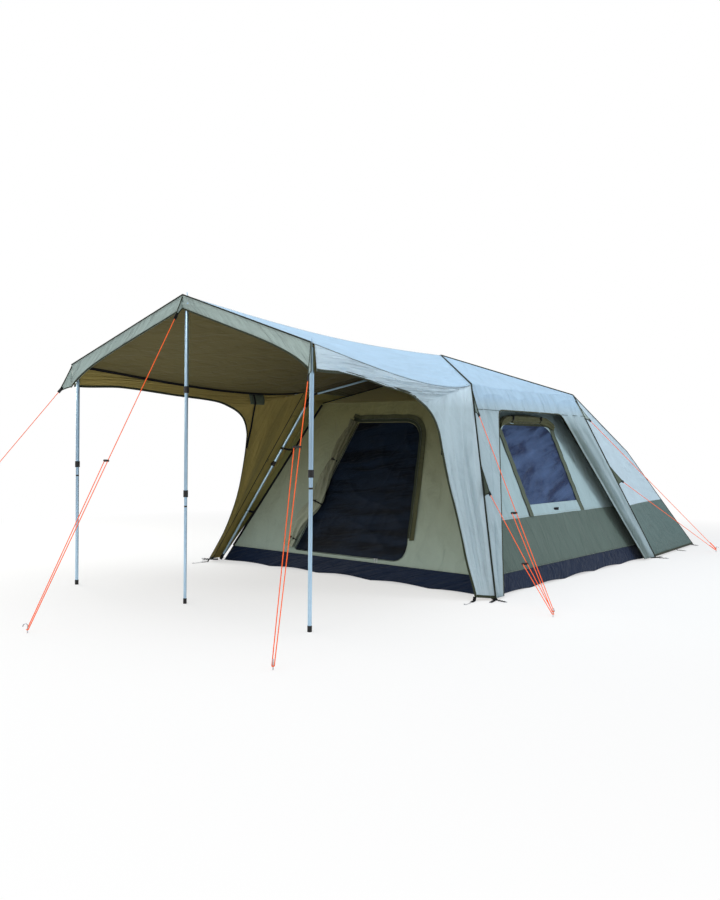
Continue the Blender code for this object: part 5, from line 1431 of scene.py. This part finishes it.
def doorRipple(u, v, place):
    slack = min(v * 5, 1)
    crest = 1 - abs(math.sin(3.0 * place.x + 8.5 * place.z + 2.4 * crinkled(place, 2.0, 5.0)))
    fold = 0.013 * crest ** 2.0 * (0.6 + crinkled(place, 1.7, 2.0))
    fine = 1 - abs(math.sin(14 * place.x - 9 * place.z + 5 * crinkled(place, 2.6, 7.0)))
    fold += 0.004 * fine ** 3
    fold += 0.005 * crinkled((place.x * 0.9, place.y, place.z * 2.2), 5.0, 3.0)
    return (fold + 0.0014 * crinkled(place, 17, 3.0)) * slack


doorPoints = [[doorPlace(column / 176, row / 60) for column in range(176)] for row in range(61)]
doorPoints, _, flip = clothGrid(doorPoints, lambda p: doorOut, doorRipple, True)
doorNet = clothMesh("doorNet", doorPoints, flip, looks["doorNet"], looks["doorNet"], 0.0008, ring=True)
setUv(doorNet, flatUv((1, 0, 0), (0, 0.37, 0.93)))
hang(doorNet, ["door_mesh"], 1.3, 1.32, "stretched", area=1.33, rests=["inner_wall_front"])
low, high = Vector(doorWay["corners"][0]), Vector(doorWay["corners"][3])
upEdge = (high - low).normalized()
leftWay = Vector((-upEdge.y, upEdge.x))
doorBundle = {
    "ties": (0.06, 0.36, 0.68, 0.94), "deep": 0.030,
    "halves": ((0.0, 0.074), (0.12, 0.068), (0.25, 0.088), (0.35, 0.112), (0.5, 0.074), (0.7, 0.056), (0.85, 0.048),
               (1.0, 0.044)),
    "sags": ((0.0, 0.0), (0.15, 0.0), (0.25, 0.045), (0.35, 0.095), (0.45, 0.075), (0.55, 0.035), (0.7, 0.005),
             (0.85, 0.0), (1.0, 0.0)),
}


def rollSwell(share):
    pinch = min(min(abs(share - tie) for tie in doorBundle["ties"]) * 8, 1) ** 0.55
    return 0.62 + 0.38 * pinch


def rollHalf(share):                             # the bundle spills wider towards the sill
    return smoothRow(doorBundle["halves"], share)[0]


def rollMiddle(share):                           # it sags over the doorway's edge below its middle
    return rollHalf(share) * rollSwell(share) - 0.046 - smoothRow(doorBundle["sags"], share)[0]


def onDoorRoll(share, shift=0.0, out=0.0):
    flat = mixed3(low, high, share) + leftWay * (0.0575 + shift)
    return wallPlace(0, flat.x, flat.y, out)


# a near-black strip along the hinge line: a painted shadow between the rolled door and the mesh
hingeLine = [onDoorRoll(share, -0.0560, 0.0032) for share in spread(60, 0.004, 0.985)]
band("doorShade", hingeLine, [doorOut] * 61, 0.0085, "paintedShadowDark",
     side=(onDoorRoll(0.5, 1.0) - onDoorRoll(0.5, 0.0)).normalized(), thickness=0.0016)
doorRoll = rolledCloth(
    "doorRoll", [onDoorRoll(share, rollMiddle(share), 0.0410) for share in spread(100, 0.003, 0.994)],
    lambda s: (rollHalf(s), doorBundle["deep"]), wallPlace(0, leftWay.x, leftWay.y) - wallPlace(0, 0, 0), doorOut,
    6, 0.0120, rollSwell, 5, "bundle", "bundle", around=64, seed=1.2)
hang(doorRoll, ["door_roll"], 1.31, 1.27, "gathered", area=1.45, rests=["inner_wall_front"])
pushed = [doorRoll]
for index, tie in enumerate(doorBundle["ties"][1:3] + doorBundle["ties"][:1]):
    here = onDoorRoll(tie, rollMiddle(tie), 0.0390)
    sideWay = (onDoorRoll(tie, 1.0) - onDoorRoll(tie, 0.0)).normalized()
    rollUp = (onDoorRoll(1, 0) - onDoorRoll(0, 0)).normalized()
    grow, deep = rollSwell(tie), doorBundle["deep"] * rollSwell(tie)
    loop = [here + sideWay * math.cos(a) * (rollHalf(tie) * grow + 0.003) + doorOut * math.sin(a) * (deep + 0.004)
            for a in loopAngles(20)]
    pushed.append(band(f"doorTie_{index}", loop, [(p - here).normalized() for p in loop], 0.014, "webbing",
                       side=rollUp, shift=-0.007, thickness=0.002))
    pushed.append(shapedBlock(f"doorToggle_{index}", (0.032, 0.009, 0.009), here + doorOut * (deep + 0.010),
                              rollUp, doorOut, "nylon", bevel=0.003))
for piece in pushed:                             # each piece of the bundle gets a mesh of its own; in the tent the mesh door pushes the bundle aside as it swings out
    tuple(onDoorRoll(0.5, 0.1025))
    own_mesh(piece)
print("door made")

# Inner roof, corner seams and the tub floor
def cornersAt(half, height):
    return [Vector((a * half, b * half, height)) for a, b in cornerSigns + cornerSigns[:1]]


def quarter(u):                                  # which of the four sides, and how far along it
    index = min(int(u * 4), 3)
    return index, u * 4 - index


def innerRoofPlace(u, v):
    corners = cornersAt(size["wallTopHalf"], size["wallTop"])
    index, share = quarter(u)
    place = mixed3(mixed3(corners[index], corners[index + 1], share), Vector((0, 0, size["innerPeak"])), v)
    place.z -= 0.020 * 16 * share * (1 - share) * v * (1 - v) ** 2
    return place


def innerRoofRipple(u, v, place):
    edge = min(u * 4 % 1, 1 - u * 4 % 1)
    return 0.003 * crinkled(place, 3.5, 2.0) * math.sin(math.pi * v) * min(1, edge * 8)


ceilingPoints, _, flip = clothGrid(rowsOf(innerRoofPlace, 96, 30), lambda p: lineUp, innerRoofRipple)
ceiling = clothMesh("ceiling", ceilingPoints, flip, looks["ceiling"], looks["khaki"], 0.0014)
hang(ceiling, ["inner_roof"], 1.9, 1.9, "stretched", area=3.3, rests=["hub"])
innerSeams, roofSeams = [], []
for (a, b), corner in zip(cornerSigns, cornersAt(size["wallTopHalf"], size["wallTop"])):
    innerSeams.append([Vector((a * (wallHalf(h) + 0.002), b * (wallHalf(h) + 0.002), h))
                       for h in spread(30, 0.15, 1.44)])
    roofSeams.append([mixed3(corner, Vector((0, 0, size["innerPeak"])), k / 30) + Vector((0, 0, 0.004))
                      for k in range(30)])
piping("innerCornerPiping", innerSeams, 0.0085, "webbing")
for index, (a, b) in enumerate(cornerSigns):
    for turn, normal, sideWay in ((0, (0, b, lean), (-a, 0, 0)), (1, (a, 0, lean), (0, -b, 0))):
        normal = Vector(normal).normalized()
        band(f"cornerTape_{index}_{turn}", [p + normal * 0.0022 for p in innerSeams[index]], [normal] * 31, 0.020,
             "webbing", side=Vector(sideWay), thickness=0.002)
piping("innerRoofPiping", roofSeams, 0.006, "webbing")
top = cornersAt(size["wallTopHalf"] * 1.002, size["wallTop"])
piping("innerEavePiping", [[mixed3(top[k], top[k + 1], j) for j in spread(20)] for k in range(4)], 0.003, "khaki")

tub = {"columns": 72, "rows": 14, "wave": 0.019, "waves": 5, "groundHalf": 1.5675, "rim": 0.12}


def scallop(index, share):
    return abs(math.sin(share * math.pi * tub["waves"] + index)) * tub["wave"] * math.sin(math.pi * share) ** 0.5


def tubPlace(u, v):
    index, share = quarter(u)
    height = size["tub"] * v
    corners = cornersAt(wallHalf(height), height)
    place = mixed3(corners[index], corners[index + 1], share)
    place.z += scallop(index, share) * (1 - v) ** 2
    return place


def tubRipple(u, v, place):
    share = u * 4 % 1
    slack = math.sin(math.pi * share) ** 0.5
    bulge = 0.010 * math.sin(math.pi * v) * (0.5 + 0.5 * math.sin(share * math.pi * 10 + 2))
    warp = crinkled((share * 8, v, quarter(u)[0]), 1.2, 3.0)
    crest = 1 - abs(math.sin(math.pi * (9 * share + 0.8 * v + 2.0 * warp)))
    lift = bulge + 0.009 * crest ** 2.5 * math.sin(math.pi * v) ** 0.5
    wide = crinkled((place.x * 2.5, place.y * 2.5, place.z * 5), 2.6, 3.0)
    lift += 0.008 * wide * math.sin(math.pi * min(v + 0.15, 1))
    return (lift + 0.002 * crinkled(place, 20, 4.0)) * slack


tubPoints, _, flip = clothGrid(
    rowsOf(tubPlace, tub["columns"] * 4, tub["rows"]), lambda p: Vector((p.x, p.y, 0)), tubRipple)


def groundPlace(u, v):                           # its rim rises to meet the tub wall's scalloped foot
    x, y = (2 * u - 1) * tub["groundHalf"], (2 * v - 1) * tub["groundHalf"]
    index, along = max(enumerate((x, y, -x, -y)), key=lambda part: part[1])
    half = size["floorHalf"]
    share = min(max(((y + half), (half - x), (half - y), (x + half))[index] / (2 * half), 0), 1)
    rim = max(0, 1 - (tub["groundHalf"] - along) / tub["rim"]) ** 2
    return Vector((x, y, 0.0022 + rim * scallop(index, share)))


groundPoints, _, groundFlip = clothGrid(rowsOf(groundPlace, 110, 110), lambda p: -lineUp)
tubWall = clothMesh("tubWall", tubPoints, flip, looks["vinyl"], looks["vinyl"], 0.0012)
hang(tubWall, ["tub_floor"], 12.0, 0.15, "stretched", area=1.8, rests=["inner_wall_front"])
groundSheet = clothMesh("groundSheet", groundPoints, groundFlip, looks["vinyl"], looks["vinyl"], 0.0010, shift=0.5)
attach(groundSheet, "tent")
tubTop = cornersAt(wallHalf(size["tub"]) + 0.002, 0.146)
stitches("tubStitch", [[mixed3(tubTop[k], tubTop[k + 1], j) + Vector((0, 0, 0.006)) for j in spread(30)]
                       for k in range(4)])
print("inner tent made")

# Awning trim: piping, bindings, seams and tabs
frontEdge = awningPoints[awning["rows"]]
piping("gablePiping", [[p + Vector((0, -0.002, 0.003)) for p in frontEdge]], 0.005)
hemRow = awningPoints[-1]
lastRow = len(awningPoints) - 1
layerOn("valanceHem", awningPoints, awningNormals, (lastRow - 1.2, lastRow), (0, awning["columns"]), "binding",
        0.0022, awningFlip, 0.0014)
stitches("valanceStitch", [[p + n * 0.0026 + lineUp * 0.020 for p, n in zip(hemRow, awningNormals[-1])],
                           [p + Vector((0, -0.004, -0.012)) for p in frontEdge]])
ridgeLine = [awningRidge(share) + lineUp * 0.0032 for share in spread(60)]
stitches("ridgeStitch", [[p + Vector((x, 0, -abs(x) * 0.3)) for p in ridgeLine] for x in (-0.008, 0.008)])
for side in (-1, 1):
    eave = [awningEave(side, share) + Vector((side * 0.001, 0, 0.0042)) for share in spread(60)]
    stitches(f"eaveStitch_{side + 1}", [[p + Vector((-side * 0.014, 0, 0.004)) for p in eave]])
for side in (-1, 1):                            # tape over the joint inside, along the awning's eave
    shares = spread(60, 0.01, 0.965)
    joint = [awningEave(side, share) + Vector((0, 0, -0.0045)) for share in shares]
    slope = [(awningRidge(share) - awningEave(side, share)).normalized() for share in shares]
    band(f"eaveTape_{side + 1}", joint, [Vector((side * way.z, 0, -side * way.x)).normalized() for way in slope],
         0.034, "webbing", side=slope, shift=-0.001, thickness=0.003)
for side, label in ((-1, "left"), (1, "right")):
    base, tip = cornerTab(side)
    tabCloth(f"cornerTab_{label}", base, tip, lineUp, 0.092, "valance")
base, tip = ridgeTab()
tabCloth("ridgeTab", base, tip, lineUp, 0.050, "valance")
eyelet = {"radius": 0.009, "wire": 0.0022, "spike": 0.055, "shoulder": 0.024, "lift": 0.004, "slope": 0.33}
for x, y, pole in ((-1.33, -3.40, "left"), (0, -3.33, "centre"), (1.33, -3.40, "right")):
    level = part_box("awning_pole_upper_" + pole)[1].z - eyelet["spike"] + eyelet["shoulder"] + eyelet["lift"]
    tilt = 1 if x > 0 else -1 if x < 0 else 0
    ring = [Vector((x + eyelet["radius"] * math.cos(a), y + eyelet["radius"] * math.sin(a),
                    level - eyelet["slope"] * eyelet["radius"] * math.cos(a) * tilt))
            for a in spread(20, 0.0, 2 * math.pi)]
    piping(f"eyelet_{int(x * 100) + 200}", [ring], eyelet["wire"], "steel")
print("awning trim made")

# Frame: tubes, collars, clips and straps
rig = {
    "elbow": 0.95, "elbowHeight": 1.69, "foot": 1.60, "hubHeight": 2.065, "armStart": 0.043, "armEnd": 0.0602,
    "armSocket": 0.0448, "collar": 0.779, "footCap": 1.855, "latch": 0.805,
    "straps": ((1.14, 0.0150), (0.50, 0.0131)),         # height and the tube's radius there
}
for corner, (a, b) in {
    "front_left": (-1, -1), "front_right": (1, -1), "rear_left": (-1, 1), "rear_right": (1, 1),
}.items():
    pin = Vector((a * rig["elbow"], b * rig["elbow"], rig["elbowHeight"]))
    rigFoot = Vector((a * rig["foot"], b * rig["foot"], 0))
    down = (rigFoot - pin).normalized()
    armOut = Vector((a, b, 0)).normalized()
    armStart = Vector((0, 0, rig["hubHeight"])) + armOut * rig["armStart"]
    arm, armWay = pin - armStart, (pin - armStart).normalized()
    for part, look in (
        ("leg_upper", tubePaint("upperTube_" + corner, tuple(down), pin.dot(down), [(rig["collar"], 0.9)])),
        ("leg_lower", tubePaint("lowerTube_" + corner, tuple(down), pin.dot(down), [(rig["footCap"], 2.2)])),
        ("roof_arm", tubePaint("armTube_" + corner, tuple(armWay), armStart.dot(armWay), [
            (-0.1, rig["armSocket"]), (arm.length - rig["armEnd"], 9)])),
        ("elbow", looks["nylon"]),
    ):
        dressNode(f"{part}_{corner}", look)
    for index, (height, radius) in enumerate(rig["straps"]):
        onLeg = pin + (rigFoot - pin) * ((rig["elbowHeight"] - height) / rig["elbowHeight"])
        onWall = Vector((a * wallHalf(height), b * wallHalf(height), height - 0.01))
        toWall = (onWall - onLeg).normalized()
        square = down.cross(toWall).normalized()
        strap = [mixed3(onWall, onLeg + toWall * (radius + 0.004), k) - Vector((0, 0, 0.006 * math.sin(math.pi * k)))
                 for k in spread(8)]
        band(f"legStrap_{corner}_{index}", strap, [square] * 9, 0.020, "webbing", side=down, shift=-0.010,
             thickness=0.0024)
        if index == 0:                              # a clip on the upper tube, a ring round the lower one
            loop = [onLeg + (-toWall * math.cos(t) + square * math.sin(t)) * (radius + 0.0016)
                    for t in [math.pi * turn for turn in spread(14, -0.78, 1.56)]]
            band(f"legClip_{corner}", loop, [(p - onLeg).normalized() for p in loop], 0.024, "nylon", side=down,
                 shift=-0.012, thickness=0.003)
        else:
            ring = [onLeg + (-toWall * math.cos(t) + square * math.sin(t)) * (radius + 0.0040)
                    for t in spread(24, 0.0, 2 * math.pi)]
            piping(f"legRing_{corner}", [ring], 0.0022, "nylon")
    shapedBlock(f"legLatch_{corner}", (0.030, 0.012, 0.010), pin + down * rig["latch"] + armOut * 0.021, down,
                armOut, "nylon", bevel=0.003)
    print("leg dressed:", corner)
for node, sleeves in {
    "upper_left": [(0.98, 1.03)], "upper_right": [(0.98, 1.03)], "upper_centre": [(1.56, 1.61)],
    "middle_centre": [(0.79, 0.84)], "lower_left": [(0.905, 0.917), (-0.1, 0.04)],
    "lower_right": [(0.905, 0.917), (-0.1, 0.04)], "lower_centre": [(0.715, 0.727), (-0.1, 0.04)],
}.items():
    dressNode("awning_pole_" + node, tubePaint("poleTube_" + node, (0.0, 0.0, 1.0), 0.0, sleeves))
for node in cadNodes:
    if node.startswith(("hub", "runner")):
        dressNode(node, looks["nylon"])
    elif node.startswith("peg") or node == "rear_hoop":
        dressNode(node, looks["steel"])

# Feet: webbing loops, rings and wire hooks
feet = {"strap": 0.026, "length": 0.120, "drop": 0.018, "wire": 0.0018, "ring": 0.013, "pad": 1.622}


def footLoop(name, start, way, length):
    # a doubled peg loop that drops from the hem and lies on the ground, with a steel ring in its end
    way = Vector((way[0], way[1], 0)).normalized()
    drop = max(start.z - 0.004, 0.0)
    line = [start - lineUp * drop * (1 - (1 - k / 5) ** 2) + way * feet["drop"] * (k / 5) for k in range(6)]
    line += [line[-1] + way * (length - feet["drop"]) * k / 10 + lineUp * 0.0035 * math.sin(k * 0.9) ** 2
             for k in range(1, 11)]
    wayAcross = way.cross(lineUp)
    ups = []
    for k in range(len(line)):
        along = (line[min(k + 1, len(line) - 1)] - line[max(k - 1, 0)]).normalized()
        ups.append(wayAcross.cross(along) if wayAcross.cross(along).z > 0 else -wayAcross.cross(along))
    band(name, line, ups, feet["strap"], "webbing", side=wayAcross, shift=-feet["strap"] / 2, thickness=0.0030)
    ring = [line[-1] + way * (feet["ring"] * (1.0 - math.cos(t)) - 0.006) + wayAcross * feet["ring"] * math.sin(t)
            + lineUp * 0.0004 for t in spread(24, 0.0, 2 * math.pi)]
    piping(name + "Ring", [[Vector((p.x, p.y, max(p.z, 0.0030))) for p in ring]], feet["wire"], "steel")
    return line[-1] + way * feet["ring"] * 2


def wireHook(name, start, way):
    # a bent wire peg hook with a long shank
    way = Vector((way[0], way[1], 0)).normalized()
    wayAcross = way.cross(lineUp)
    line = [start + way * 0.070 * k / 8 for k in range(9)]
    line += [line[-1] + way * 0.010 * math.sin(t) + wayAcross * 0.010 * (1 - math.cos(t))
             for t in [math.pi * k / 8 for k in range(1, 9)]]
    line.append(line[-1] - way * 0.018)
    piping(name, [[Vector((p.x, p.y, 0.0024)) for p in line]], 0.0022, "steel")


for side in (-1, 1):
    for end in (-1, 1):
        foot = legSeam(side, end, 0)
        label = f"{'left' if side < 0 else 'right'}_{'front' if end < 0 else 'rear'}"
        out = Vector((side, end, 0)).normalized()
        sideways = out.cross(lineUp)
        for index, swing in enumerate((-0.55, 0.50)):
            footLoop(f"footLoop_{label}_{index}", foot + out * 0.004, Matrix.Rotation(swing, 3, "Z") @ out,
                     feet["length"] - 0.02 * index)
        pad = Vector((side * feet["pad"], end * feet["pad"], 0.0)) + Vector((0, 0, 0.0062)) + out * 0.018
        shapedBlock(f"footPad_{label}", (0.060, 0.044, 0.012), pad, out, sideways, "nylon", bevel=0.004, taper=0.7)
        tubCorner = Vector((side * size["floorHalf"], end * size["floorHalf"], 0.020))
        line = [tubCorner + out * 0.012 * k - Vector((0, 0, 0.0018 * k)) for k in range(5)]
        band(f"tubStrap_{label}", line, [lineUp] * 5, 0.024, "webbing", side=sideways, shift=-0.012, thickness=0.0024)
    hem = wingPlace(side)(0.0, 1.0)
    tip = footLoop(f"wingLoop_{side + 1}", hem + Vector((0, 0, 0.004)), (side * 0.25, -1), 0.075)
    wireHook(f"wingHook_{side + 1}", tip, (side * 0.1, -1))
    middle = mixed3(legSeam(side, 1, 0), lobbyFoot(side), 0.55)
    footLoop(f"lobbyLoop_{side + 1}", middle, (side, 0.1), 0.085)
    corner = Vector((side * lobby["hemHalf"], lobby["hemBack"] - 0.004, size["hem"]))
    footLoop(f"lobbyCornerLoop_{side + 1}", corner, (side * 0.6, -0.15), 0.060)
print("trim made")
